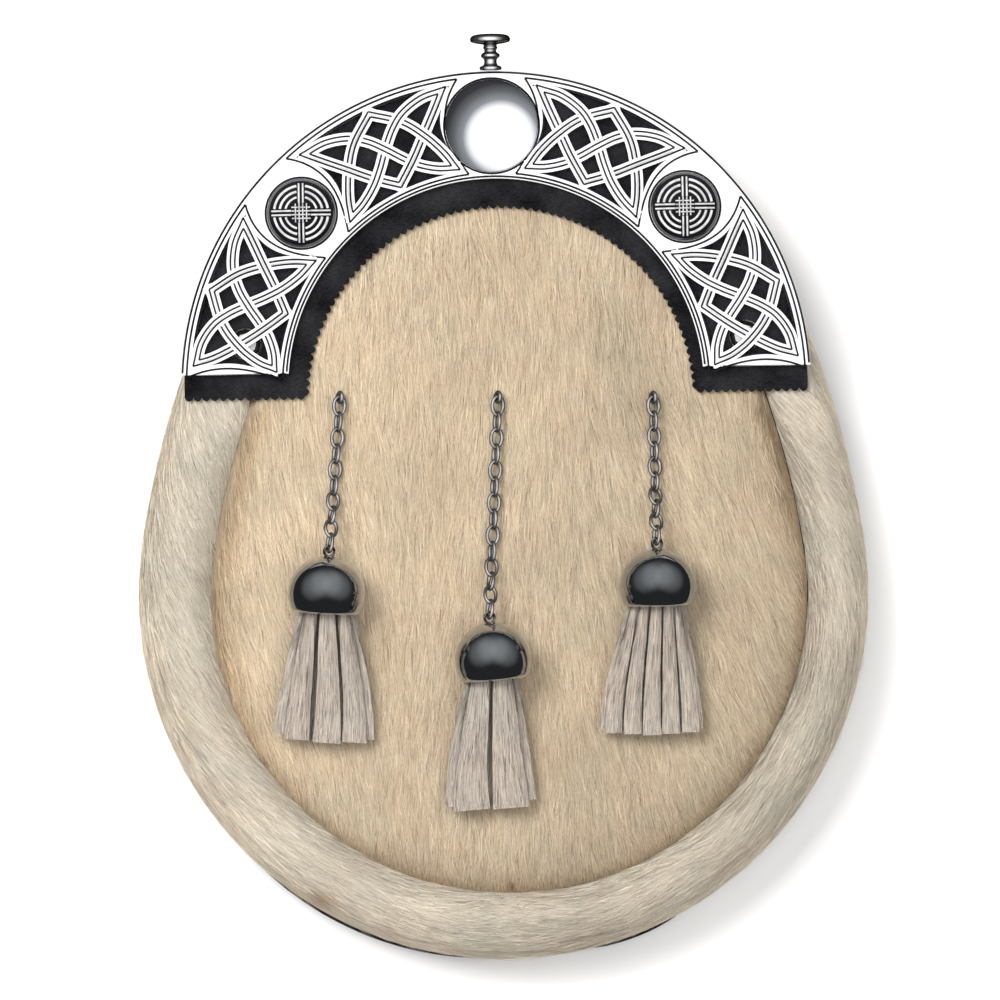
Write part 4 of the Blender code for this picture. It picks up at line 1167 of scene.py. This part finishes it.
def runs(path, clearance):
    """The stretches of a path with a positive clearance, cut where it passes zero."""
    found = []
    current = []
    for i, point in enumerate(path):
        if i and (clearance[i] > 0) != (clearance[i - 1] > 0):
            share = clearance[i - 1] / (clearance[i - 1] - clearance[i])
            current.append(path[i - 1] + share * (point - path[i - 1]))
        if clearance[i] > 0:
            current.append(point)
        elif current:
            found.append(np.array(current))
            current = []
    if current:
        found.append(np.array(current))
    return [run for run in found if len(run) > 2]


def lengthened(path, reach):
    """A path carried straight on past both of its ends."""
    before = path[0] - path[1]
    after = path[-1] - path[-2]
    steps = np.linspace(1, 0.25, 4)[:, None] * reach
    head = path[0] + before / np.linalg.norm(before) * steps
    tail = path[-1] + after / np.linalg.norm(after) * steps[::-1]
    return np.concatenate([head, path, tail])


def add_knot(shape, panel, side):
    """One panel's interlaced strands: flat webs, each with a ridge between two dark lines of painted
    shade.
    """
    paths = knot_paths(panel, side)
    corners = mitres(paths)
    for number, path in enumerate(paths):
        over = [paths[low] for high, low in CROSSINGS if high == number]
        under = [paths[high] for high, low in CROSSINGS if low == number]
        level = CANTLE_TOP + WEB_STEP * number
        web = lengthened(path, WEB_TIP)
        shape.band(web, WEB_WIDTH, CANTLE_BASE, level + web_rise(web, over), frame=CANTLE_FRAME)
        for offset, width, tip, proud, mark, round_top in WEB_LINES:
            long = lengthened(path, tip * MM)
            line = long + sideways(long) * offset * MM
            top = CANTLE_TOP + WEB_STEP * len(paths) + web_rise(long, over)
            clearance = np.full(len(line), MITRE_REACH)
            for other in under:
                clearance = np.minimum(clearance, nearest(line, other) - WEB_WIDTH / 2 - WEB_CLEARANCE)
            for corner, outwards in corners[number]:
                from_corner = line - corner
                near = np.linalg.norm(from_corner, axis=1) < MITRE_REACH
                clearance = np.where(near, np.minimum(clearance, -from_corner @ outwards), clearance)
            for stretch in runs(np.column_stack([line, top]), clearance):
                tops = stretch[:, 2] + proud * MM
                shape.band(stretch[:, :2], width * MM, CANTLE_TOP, tops, mark, CANTLE_FRAME, round_top)


def web_rise(path, over):
    """How far a web stands above the plate along its path, more where it passes over another."""
    rise = np.full(len(path), WEB_RISE)
    for other in over:
        rise += WEB_RISE * smoothstep(1 - nearest(path, other) / WEB_CLIMB)
    return rise


def add_plate(name, outlines, low, high, edge, finish, stands_for):
    """A flat plate with holes and rounded edges, filled as one flat curve and turned into a mesh."""
    curve = bpy.data.curves.new(name, "CURVE")
    curve.dimensions = "2D"
    curve.fill_mode = "BOTH"
    curve.extrude = (high - low) / 2 - edge
    curve.bevel_depth = edge
    curve.bevel_resolution = 2
    curve.offset = -edge
    for points in outlines:
        spline = curve.splines.new("POLY")
        spline.points.add(len(points) - 1)
        for target, (x, y) in zip(spline.points, points):
            target.co = (x, y, 0, 1)
        spline.use_cyclic_u = True
    holder = add_object(name, curve)
    bpy.context.view_layer.update()
    mesh = bpy.data.meshes.new_from_object(holder)
    bpy.data.objects.remove(holder)
    mesh.name = name
    mesh.transform(CANTLE_FRAME @ Matrix.Translation((0, 0, (low + high) / 2)))
    mesh.materials.clear()
    mesh.materials.append(finish)
    mesh.shade_smooth()
    mesh.set_sharp_from_angle(angle=math.radians(SHARP_EDGE_ANGLE))
    made = add_object(name, mesh)
    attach(made, BODY)
    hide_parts(stands_for)


def half_ring(radius, foot, steps):
    end = math.degrees(math.acos(foot / radius))
    return [polar(radius, angle) for angle in np.linspace(-end, end, steps)]


def circle(x, y, radius, steps):
    return [(x + a, y + b) for a, b in arc(radius, [2 * math.pi * i / steps for i in range(steps)])]


def add_cantle(finishes):
    """The pierced plate, its engraved lines and its four knots."""
    outer = half_ring(CANTLE_RADIUS, CANTLE_FOOT, OUTER_ARC_STEPS)
    inner = half_ring(CANTLE_INNER_RADIUS, CANTLE_FOOT, INNER_ARC_STEPS)[::-1]
    holes = [opening_outline(panel, side, OPENING_STEPS) for side in (-1, 1) for panel in (0, 1)]
    add_plate(
        "cantle_plate",
        [outer + inner, *holes],
        CANTLE_BASE,
        CANTLE_TOP,
        PLATE_EDGE,
        finishes["chrome"],
        "cantle",
    )
    shape = Shape()
    for side in (-1, 1):
        for panel in (0, 1):
            add_knot(shape, panel, side)
            for margin, grow_by, skipped in FRAME_LINES:
                line = opening_outline(panel, side, OPENING_STEPS, margin * MM, grow_by)
                line.append(line[0])
                for start in range(0, 4 * OPENING_STEPS, OPENING_STEPS):
                    engrave(shape, line[start + skipped:start + OPENING_STEPS + 1 - skipped])
    for radius in (CANTLE_RADIUS - BORDER_OUTER, CANTLE_INNER_RADIUS + BORDER_INNER):
        engrave(shape, half_ring(radius, CANTLE_FOOT + BORDER_INNER, INNER_ARC_STEPS))
    for angle in (-BOSS_ANGLE, 0, BOSS_ANGLE):
        reach = DISC_RADIUS if angle == 0 else BOSS_RADIUS
        x, y = polar(BOSS_FROM_CENTRE, angle)
        ring = circle(x, y, reach + ORNAMENT_BORDER, 64)
        engrave(shape, ring + ring[:1])
    shape.piece("cantle_knots", [finishes["chrome"], finishes["groove"]], slot="chrome")


def engrave(shape, line):
    """A thin dark line along the plate, standing a little proud of it: painted shade in place of an
    engraved cut.
    """
    low, high = CANTLE_TOP - ENGRAVED_DEPTH, CANTLE_TOP + ENGRAVED_PROUD
    shape.band(line, ENGRAVED_WIDTH, low, high, mark=1, frame=CANTLE_FRAME)


def pinked(points, out):
    """A toothed line between dense points: rounded teeth along their outward normals."""
    length = np.concatenate([[0], np.cumsum(np.hypot(*np.diff(points, axis=0).T))])
    teeth = max(round(length[-1] / TOOTH_PITCH), 1)
    even = np.linspace(0, length[-1], teeth * TOOTH_POINTS + 1)
    x, y = (np.interp(even, length, column) for column in points.T)
    nx, ny = (np.interp(even, length, column) for column in out.T)
    wave = np.abs(np.sin(math.pi * even / length[-1] * teeth)) ** TOOTH_ROUNDNESS * TOOTH_DEPTH
    return [(a + n * w, b + m * w) for a, b, n, m, w in zip(x, y, nx, ny, wave)]


def leather_outline():
    """The backing's outline: a plain arc outside, and teeth round the opening and along both feet."""
    foot = CANTLE_FOOT - LEATHER_DROP
    edge = half_ring(CANTLE_RADIUS - LEATHER_EDGE, foot, OUTER_ARC_STEPS)
    reach = math.acos((foot + LEATHER_OPENING_DROP) / LEATHER_OPENING_RADIUS)
    half = LEATHER_OPENING_RADIUS * math.sin(reach)
    angles = np.degrees(np.linspace(reach, -reach, LEATHER_ARC_STEPS))
    arch = np.array([polar(LEATHER_OPENING_RADIUS, angle) for angle in angles])
    arch += (LEATHER_OPENING_SHIFT, -LEATHER_OPENING_DROP)
    inwards = -np.array([polar(1, angle) for angle in angles])
    down = np.array([[0, -1], [0, -1]])
    right = np.array([edge[-1], (LEATHER_OPENING_SHIFT + half, foot)])
    left = np.array([(LEATHER_OPENING_SHIFT - half, foot), edge[0]])
    toothed = pinked(right, down)[1:-1]
    toothed += pinked(arch, inwards)
    toothed += pinked(left, down)[1:-1]
    return edge + toothed


def add_leather(finishes):
    rivets = [polar(RIVET_FROM_CENTRE, side * RIVET_ANGLE) for side in (-1, 1)]
    holes = [circle(*rivet, RIVET_RADIUS + GAP, 32) for rivet in rivets]
    add_plate(
        "cantle_backing",
        [leather_outline(), *holes],
        SEAT_HEIGHT,
        SEAT_HEIGHT + LEATHER_THICKNESS,
        LEATHER_ROUNDING,
        finishes["leather"],
        "cantle_leather",
    )


def dome(radius, height, rows, shoulder):
    """A profile from a shoulder over a low dome: (radius, height) rows."""
    rise = height - shoulder
    bend = (radius**2 + rise**2) / (2 * rise)
    made = [(radius, shoulder)]
    for i in range(1, rows):
        r = radius * (1 - i / rows)
        made.append((r, height - bend + math.sqrt(bend**2 - r**2)))
    return [*made, (radius * 0.01, height)]


def boss_height(reach):
    """The height of a boss's dome at a distance from its centre."""
    share = min(reach / BOSS_RADIUS, 1)
    return BOSS_HEIGHT * (BOSS_EDGE + BOSS_DOME * math.sqrt(max(1 - (share / BOSS_FLARE) ** 2, 0)))


def add_boss(word, side, finishes):
    """A domed boss: a plain rim, three rings broken by a cross, and a small woven knot."""
    x, y = polar(BOSS_FROM_CENTRE, side * BOSS_ANGLE)
    frame = CANTLE_FRAME @ Matrix.Translation((x, y, CANTLE_TOP + GAP))
    shape = Shape()
    profile = [(r * BOSS_RADIUS, height * MM) for r, height in BOSS_RIM]
    for r in np.linspace(0.93, 0.01, 16):
        profile.append((r * BOSS_RADIUS, boss_height(r * BOSS_RADIUS)))
    shape.turned(profile, 64, mark=1, frame=frame)
    for radius, wire in BOSS_RINGS:
        margin = math.degrees(BOSS_CROSS_MARGIN / radius)
        height = boss_height(radius) + BOSS_WIRE_LIFT
        for start in range(0, 360, 90):
            turns = np.radians(np.linspace(start + margin, start + 90 - margin, 16))
            shape.tube([(*point, height) for point in arc(radius, turns)], wire, frame=frame)
    reaches = np.linspace(*BOSS_CROSS_ENDS, 10) * MM
    for quarter in range(4):
        turn = Matrix.Rotation(math.pi / 2 * quarter, 4, "Z")
        for offset in (-BOSS_CROSS_OFFSET, BOSS_CROSS_OFFSET):
            path = [turn @ Vector((r, offset, boss_height(r) + BOSS_WIRE_LIFT)) for r in reaches]
            shape.tube(path, BOSS_CROSS_WIRE, frame=frame)
    add_boss_knot(shape, frame)
    coats = [finishes["ring"], finishes["ground"]]
    shape.piece(f"boss_{word}_face", coats, replaces=[f"boss_{word}"], slot="dark_chrome")


def add_boss_knot(shape, frame):
    """The woven square in the middle of a boss: bars that pass over and under in turn."""
    top = BOSS_HEIGHT - BOSS_KNOT_SINK
    for row, offset in enumerate(BOSS_KNOT_ROWS):
        for crossed in (0, 1):
            path = []
            for reach in np.linspace(-BOSS_KNOT_REACH, BOSS_KNOT_REACH, 21):
                height = top + BOSS_KNOT_WAVE * math.cos(math.pi * (reach + 0.5 + row + crossed))
                across, along = (offset, reach * MM) if crossed else (reach * MM, offset)
                path.append((across, along, height))
            shape.tube(path, BOSS_KNOT_WIRE, 6, frame=frame)


def add_ornaments(finishes):
    """The bosses, the polished disc and the turned knob."""
    for side, word in ((-1, "left"), (1, "right")):
        add_boss(word, side, finishes)
    disc = Shape()
    rows = dome(DISC_RADIUS - DISC_STEP, DISC_HEIGHT, 14, DISC_SHOULDER)
    frame = CANTLE_FRAME @ Matrix.Translation((0, BOSS_FROM_CENTRE, CANTLE_TOP + GAP))
    rim = [(DISC_RADIUS - inset * MM, height * MM) for inset, height in DISC_RIM]
    disc.turned([*rim, *rows], 96, frame=frame)
    disc.piece("polished_disc", [finishes["disc"]], replaces=["centre_disc"], slot="chrome")
    knob = Shape()
    profile = curve_through(KNOB_PROFILE, 4) * (KNOB_RADIUS, KNOB_HEIGHT)
    place = Matrix.Translation((0, CANTLE_RADIUS + GAP, (CANTLE_BASE + CANTLE_TOP) / 2))
    knob.turned(profile, 48, frame=CANTLE_FRAME @ place @ Matrix.Rotation(-math.pi / 2, 4, "X"))
    knob.piece("turned_knob", [finishes["turned"]], replaces=["clasp_knob"], slot="dark_chrome")


def tassel_frame(name, lean):
    """The frame of a cap's centre, from the box of its CAD node."""
    low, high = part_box(f"tassel_cap_{name}")
    angle = math.radians(lean)
    mouth = math.sqrt(CAP_RADIUS**2 - CAP_OPEN_DROP**2)
    drop = CAP_OPEN_DROP * math.cos(angle) + mouth * abs(math.sin(angle))
    centre = Vector(((low.x + high.x) / 2, low.y + drop, (low.z + high.z) / 2))
    return Matrix.Translation(centre) @ Matrix.Rotation(angle, 4, "Z")


def add_cap(name, frame, finishes):
    """A polished ball cap, open below, with a rolled lip and its eye."""
    shape = Shape()
    lip_angle = math.asin((CAP_OPEN_DROP - CAP_LIP) / (CAP_RADIUS - CAP_LIP))
    hub = (CAP_RADIUS - CAP_LIP) * math.cos(lip_angle)
    inner = CAP_RADIUS - CAP_WALL
    inner_end = math.asin((CAP_OPEN_DROP - CAP_WALL) / inner)
    profile = arc(CAP_RADIUS, np.linspace(CAP_CROWN, -lip_angle, 30))
    for x, y in arc(CAP_LIP, np.linspace(-lip_angle, -math.pi / 2, 10)[1:]):
        profile.append((hub + x, CAP_LIP - CAP_OPEN_DROP + y))
    profile += arc(inner, np.linspace(-inner_end, CAP_INNER_CROWN, 12))
    shape.turned(profile, 72, frame=frame @ Matrix.Rotation(-math.pi / 2, 4, "X"))
    rise = CAP_RADIUS + EYE_RADIUS + EYE_WIRE / 2 - EYE_SINK
    eye = Matrix.Translation((0, rise, 0)) @ Matrix.Rotation(math.radians(EYE_TURN), 4, "Y")
    ring = [(*point, 0) for point in arc(EYE_RADIUS, np.linspace(0, 2 * math.pi, 33)[:-1])]
    shape.tube(ring, EYE_WIRE / 2, closed=True, frame=frame @ eye)
    shape.piece(f"cap_{name}", [finishes["dark"]], replaces=[f"tassel_cap_{name}"], slot="dark_chrome")


def strip_surface(row, half_width, sway):
    """Centres, widths and up vectors along one strip, from inside the cap to the hem."""
    turn, hem_across, layer, width, length = row
    head = CAP_RADIUS - CAP_WALL - SKIRT_CLEARANCE - STRIP_THICKNESS
    angle = math.radians(turn)
    start = STRIP_START * head * Vector((math.sin(angle), 0, math.cos(angle)))
    end = Vector((hem_across * half_width + sway, 0, STRIP_THICKNESS - CAP_RADIUS + layer * SKIRT_RISE))
    across_start = Vector((math.cos(angle), 0, -math.sin(angle)))
    if across_start.x < 0:
        across_start.negate()
    overlap = 2 * STRIP_THICKNESS * length
    rows = []
    for along in np.linspace(0, 1, 13):
        centre = start.lerp(end, float(smoothstep((1 + 3 * along) / 4)) if along else 0)
        centre.y = overlap - CAP_OPEN_DROP - along * (SKIRT_LENGTH * length + overlap)
        across = across_start.lerp(Vector((1, 0, 0)), float(smoothstep(2 * along))).normalized()
        up = across.cross(Vector((0, 1, 0))).normalized()
        rows.append((centre, across * STRIP_WIDTH * width * (1 + along) / 4, up))
    return rows


def add_skirt(name, frame, half_width, sway, finishes):
    """Cut strips of haired hide in two layers, crowned across, with a coat of hair."""
    shape = Shape()
    surfaces = []
    for row in (*FRONT_STRIPS[name], *REAR_STRIPS):
        rings = []
        tops = []
        for centre, wide, up in strip_surface(row, half_width, sway):
            thick = up * STRIP_THICKNESS / 2
            top = [centre + wide * a + thick * (1 - 0.7 * a * a) for a in np.linspace(-1, 1, 7)]
            bottom = [centre + wide * a - thick for a in np.linspace(1, -1, 3)]
            rings.append(top + bottom)
            tops.append(top)
        shape.loft(rings, frame=frame)
        surfaces.append(np.array([[list(frame @ point) for point in line] for line in tops]))
    head = math.sqrt((CAP_RADIUS - CAP_WALL - SKIRT_CLEARANCE) ** 2 - CAP_OPEN_DROP**2)
    upright = frame @ Matrix.Rotation(-math.pi / 2, 4, "X")
    shape.turned([(head, -CAP_OPEN_DROP), (head, CAP_OPEN_DROP / 2)], 32, frame=upright)
    hide = [finishes["grey_skin"]]
    shape.piece(f"skirt_{name}", hide, replaces=[f"tassel_skirt_{name}"], slot="tassel_hide")
    skirt_hair(name, surfaces, finishes["grey"])


def skirt_hair(name, surfaces, finish):
    """Hair along every strip of one skirt, down to the straight cut of its hem."""
    blades, short, long, width, lift, scatter, tone_scatter = STRIP_HAIR
    count = blades * len(surfaces)
    which = np.repeat(np.arange(len(surfaces)), blades)
    grid = np.array(surfaces)
    rows, columns = grid.shape[1] - 1, grid.shape[2] - 1
    across = RANDOM.uniform(0, 1, count)
    along = RANDOM.uniform(0.08, 1, count)
    length = RANDOM.uniform(short, long, count) * MM
    drift = RANDOM.normal(0, scatter, count)

    def at(along_at, across_at):
        v = np.clip(along_at, 0, 1) * rows
        u = np.clip(across_at, 0, 1) * columns
        i = np.minimum(v.astype(int), rows - 1)
        j = np.minimum(u.astype(int), columns - 1)
        fv, fu = (v - i)[:, None], (u - j)[:, None]
        low = grid[which, i, j] * (1 - fu) + grid[which, i, j + 1] * fu
        high = grid[which, i + 1, j] * (1 - fu) + grid[which, i + 1, j + 1] * fu
        return low * (1 - fv) + high * fv

    def step(roots, reach):
        down = roots[0] + reach / SKIRT_LENGTH
        over = roots[1] + drift * reach / length
        point = at(down, over)
        normal = np.cross(at(down, over + 0.02) - point, at(down - 0.02, over) - point)
        size = np.linalg.norm(normal, axis=1, keepdims=True)
        normal = np.where(size > TINY, normal / (size + TINY), (0.0, 0.0, 1.0))
        return point, normal, np.ones(len(down), dtype=bool)

    tints = strand_tints(count, GREY_TINTS, tone_scatter)
    grow(f"skirt_hair_{name}", (along, across), step, lift, finish, tints, "tassel_hide", width, length)


def add_tassels(finishes):
    for name, lean, sway, wide in TASSELS:
        frame = tassel_frame(name, lean)
        add_cap(name, frame, finishes)
        add_skirt(name, frame, SKIRT_HALF_WIDTH * wide, sway * MM, finishes)


def smoothed_copy(name, source, finish, levels, puff, sharp=None):
    """A finer copy of a CAD node: joined quads, subdivided, and puffed out by what that takes off."""
    bm = bmesh.new()
    bm.from_mesh(source.data)
    bmesh.ops.remove_doubles(bm, verts=bm.verts, dist=WELD)
    flat = math.radians(SHARP_ANGLE)
    square = math.radians(SQUARE_ANGLE)
    bmesh.ops.join_triangles(bm, faces=bm.faces, angle_face_threshold=flat, angle_shape_threshold=square)
    mesh = bpy.data.meshes.new(name)
    bm.to_mesh(mesh)
    bm.free()
    mesh.materials.clear()
    mesh.materials.append(finish)
    made = add_object(name, mesh)
    if sharp:
        bevel = made.modifiers.new("edges", "BEVEL")
        bevel.width = sharp
        bevel.segments = 3
        bevel.limit_method = "ANGLE"
        bevel.angle_limit = math.radians(SHARP_ANGLE)
    if levels:
        smooth = made.modifiers.new("smooth", "SUBSURF")
        smooth.levels = smooth.render_levels = levels
    bpy.context.view_layer.update()
    graph = bpy.context.evaluated_depsgraph_get()
    fine = bpy.data.meshes.new_from_object(made.evaluated_get(graph))
    made.modifiers.clear()
    made.data = fine
    if puff:
        points = np.zeros(len(fine.vertices) * 3)
        normals = np.zeros(len(fine.vertices) * 3)
        fine.vertices.foreach_get("co", points)
        fine.vertex_normals.foreach_get("vector", normals)
        fine.vertices.foreach_set("co", points + puff * normals)
    fine.shade_smooth()
    if sharp:
        fine.set_sharp_from_angle(angle=math.radians(SHARP_EDGE_ANGLE))
    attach(made, BODY)
    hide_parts(source.name)


def add_chains(nodes, finishes):
    for name, source in nodes.items():
        if name.startswith("chain_"):
            smoothed_copy(f"fine_{name}", source, finishes["steel"], 1, LINK_PUFF)


def add_back(nodes, finishes):
    """The leather back, its flap and its belt loops, with rounded edges and stitched seams."""
    for name, edge in LEATHER_PARTS:
        source = nodes[name]
        smoothed_copy(f"{name}_leather", source, finishes["leather"], 0, 0, edge * MM)
    for name, finish in PLAIN_PARTS:
        for material_slot in nodes[name].material_slots:
            material_slot.material = finishes[finish]
    x, y = outline(np.arange(BACK_SEAM_STEPS) / BACK_SEAM_STEPS, BACK_SEAM_INSET)
    seam = np.stack([x, y, back_height(y)], axis=1)
    stitches = Shape()
    stitch_along(stitches, np.concatenate([seam, seam[:1]]))
    stitch_along(stitches, flap_seam(*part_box("back_flap")))
    stitches.piece("back_stitches", [finishes["thread"]], slot="black_leather")
    add_binding(finishes["leather"])


def flap_seam(low, high):
    """A closed path just inside the flap's rounded edge, from its box."""
    seam = []
    for corner_x, corner_y in ((low.x, high.y), (low.x, low.y), (high.x, low.y), (high.x, high.y)):
        centre_x = min(max(corner_x, low.x + FLAP_CORNER), high.x - FLAP_CORNER)
        centre_y = min(max(corner_y, low.y + FLAP_CORNER), high.y - FLAP_CORNER)
        start = math.atan2(corner_y - centre_y, corner_x - centre_x) - math.pi / 4
        turns = [start + math.pi / 2 * step / 6 for step in range(7)]
        for x, y in arc(FLAP_CORNER - FLAP_SEAM_INSET, turns):
            seam.append((centre_x + x, centre_y + y, low.z))
    return np.array([*seam, seam[0]])


def add_binding(finish):
    """The bound edge of the back, which shows past the hair low on either side of the foot."""
    share = np.arange(BINDING_STEPS) / BINDING_STEPS
    proud = np.zeros(BINDING_STEPS)
    for first, last in BARE_EDGES:
        along = ((share - first) % 1) / (last - first)
        proud += BARE_EDGE_PROUD * np.sin(math.pi * along.clip(0, 1)) ** BARE_EDGE_TAPER
    columns = []
    for inset, height in BINDING_SECTION:
        x, y = outline(share, inset * MM - (proud if inset < EDGE_INSET / MM else 0))
        columns.append(np.stack([x, y, back_height(y) + height * MM], axis=1))
    shape = Shape()
    shape.loft([list(ring) for ring in np.stack(columns, axis=1)], closed=True)
    shape.piece("back_binding", [finish], slot="black_leather")


def stitch_along(shape, path):
    """A row of short thread stitches just under a path."""
    length = np.concatenate([[0], np.cumsum(np.linalg.norm(np.diff(path, axis=0), axis=1))])
    count = int(length[-1] / STITCH_PITCH)
    places, rises = np.array(STITCH_ARCH).T
    for number in range(count):
        ends = length[-1] * (places * STITCH_SHARE + number) / count
        points = np.stack([np.interp(ends, length, column) for column in path.T], axis=1)
        points[:, 2] -= STITCH_PROUD * rises
        shape.tube(points, STITCH_WIRE, 6)


def add_camera():
    camera = bpy.data.cameras.new("camera")
    camera.sensor_width = SENSOR
    camera.lens = SENSOR * (CAMERA_HEIGHT - FOCUS_HEIGHT) / VIEW_WIDTH
    camera.clip_start = 0.1
    camera.clip_end = 20
    holder = add_object("camera", camera)
    holder.location = (*CAMERA_CENTRE, CAMERA_HEIGHT)
    bpy.context.scene.camera = holder


def add_light(name, place, size, watts):
    """A soft square light on the pouch that the metal doesn't mirror."""
    lamp = bpy.data.lights.new(name, "AREA")
    lamp.shape = "SQUARE"
    lamp.size = size
    lamp.energy = watts
    holder = add_object(name, lamp)
    holder.location = place
    holder.rotation_euler = (-Vector(place)).to_track_quat("-Z", "Y").to_euler()
    holder.visible_glossy = False


def direction_share(tree, direction, centre, inner, outer):
    """1 near a direction of the sky, falling to 0, between two angles in degrees."""
    dot = node(tree, "ShaderNodeVectorMath", operation="DOT_PRODUCT")
    dot.inputs[1].default_value = Vector(centre).normalized()
    tree.links.new(direction, dot.inputs[0])
    share = node(tree, "ShaderNodeMapRange", interpolation_type="SMOOTHSTEP")
    share.inputs["From Min"].default_value = math.cos(math.radians(outer))
    share.inputs["From Max"].default_value = math.cos(math.radians(inner))
    tree.links.new(dot.outputs["Value"], share.inputs["Value"])
    return share.outputs["Result"]


def add_world():
    """A dark room with a soft grey light above the pouch's head."""
    world = bpy.data.worlds.new("studio")
    world.use_nodes = True
    tree = world.node_tree
    direction = node(tree, "ShaderNodeTexCoord").outputs["Generated"]
    strength = None
    for centre, inner, outer, level in SKY:
        share = direction_share(tree, direction, centre, inner, outer)
        scaled = node(tree, "ShaderNodeMath", operation="MULTIPLY_ADD")
        scaled.inputs[1].default_value = level
        scaled.inputs[2].default_value = SKY_BASE
        tree.links.new(share, scaled.inputs[0])
        if strength is not None:
            tree.links.new(strength, scaled.inputs[2])
        strength = scaled.outputs["Value"]
    background = tree.nodes["Background"]
    background.inputs["Color"].default_value = (1, 1, 1, 1)
    tree.links.new(strength, background.inputs["Strength"])
    bpy.context.scene.world = world


def add_floor():
    """A plain pale floor under the pouch."""
    mesh = bpy.data.meshes.new("floor")
    far = FLOOR_REACH
    mesh.from_pydata([(-far, -far, 0), (far, -far, 0), (far, far, 0), (-far, far, 0)], [], [(0, 1, 2, 3)])
    made, _, shader = shader_of("pale_floor")
    shader.inputs["Base Color"].default_value = FLOOR_TONE
    shader.inputs["Roughness"].default_value = 0.9
    shader.inputs["Specular IOR Level"].default_value = 0.0
    mesh.materials.append(made)
    floor = add_object("floor", mesh)
    floor.location.z = -FLOOR_DROP
    floor.visible_glossy = False


def build():
    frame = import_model()
    add_camera()
    add_world()
    for light in LIGHTS:
        add_light(*light)
    scene = bpy.context.scene
    scene.view_settings.view_transform = "Standard"
    scene.view_settings.look = "None"
    add_floor()
    finishes = make_materials()
    add_rim(finishes["rim_skin"])
    add_panel(finishes["cream_skin"])
    for coat in range(HAIR_COATS):
        panel_hair(coat, finishes["cream"])
        rim_hair(coat, finishes["rim"])
    add_leather(finishes)
    add_cantle(finishes)
    add_ornaments(finishes)
    add_tassels(finishes)
    add_chains(frame["nodes"], finishes)
    add_back(frame["nodes"], finishes)


build()
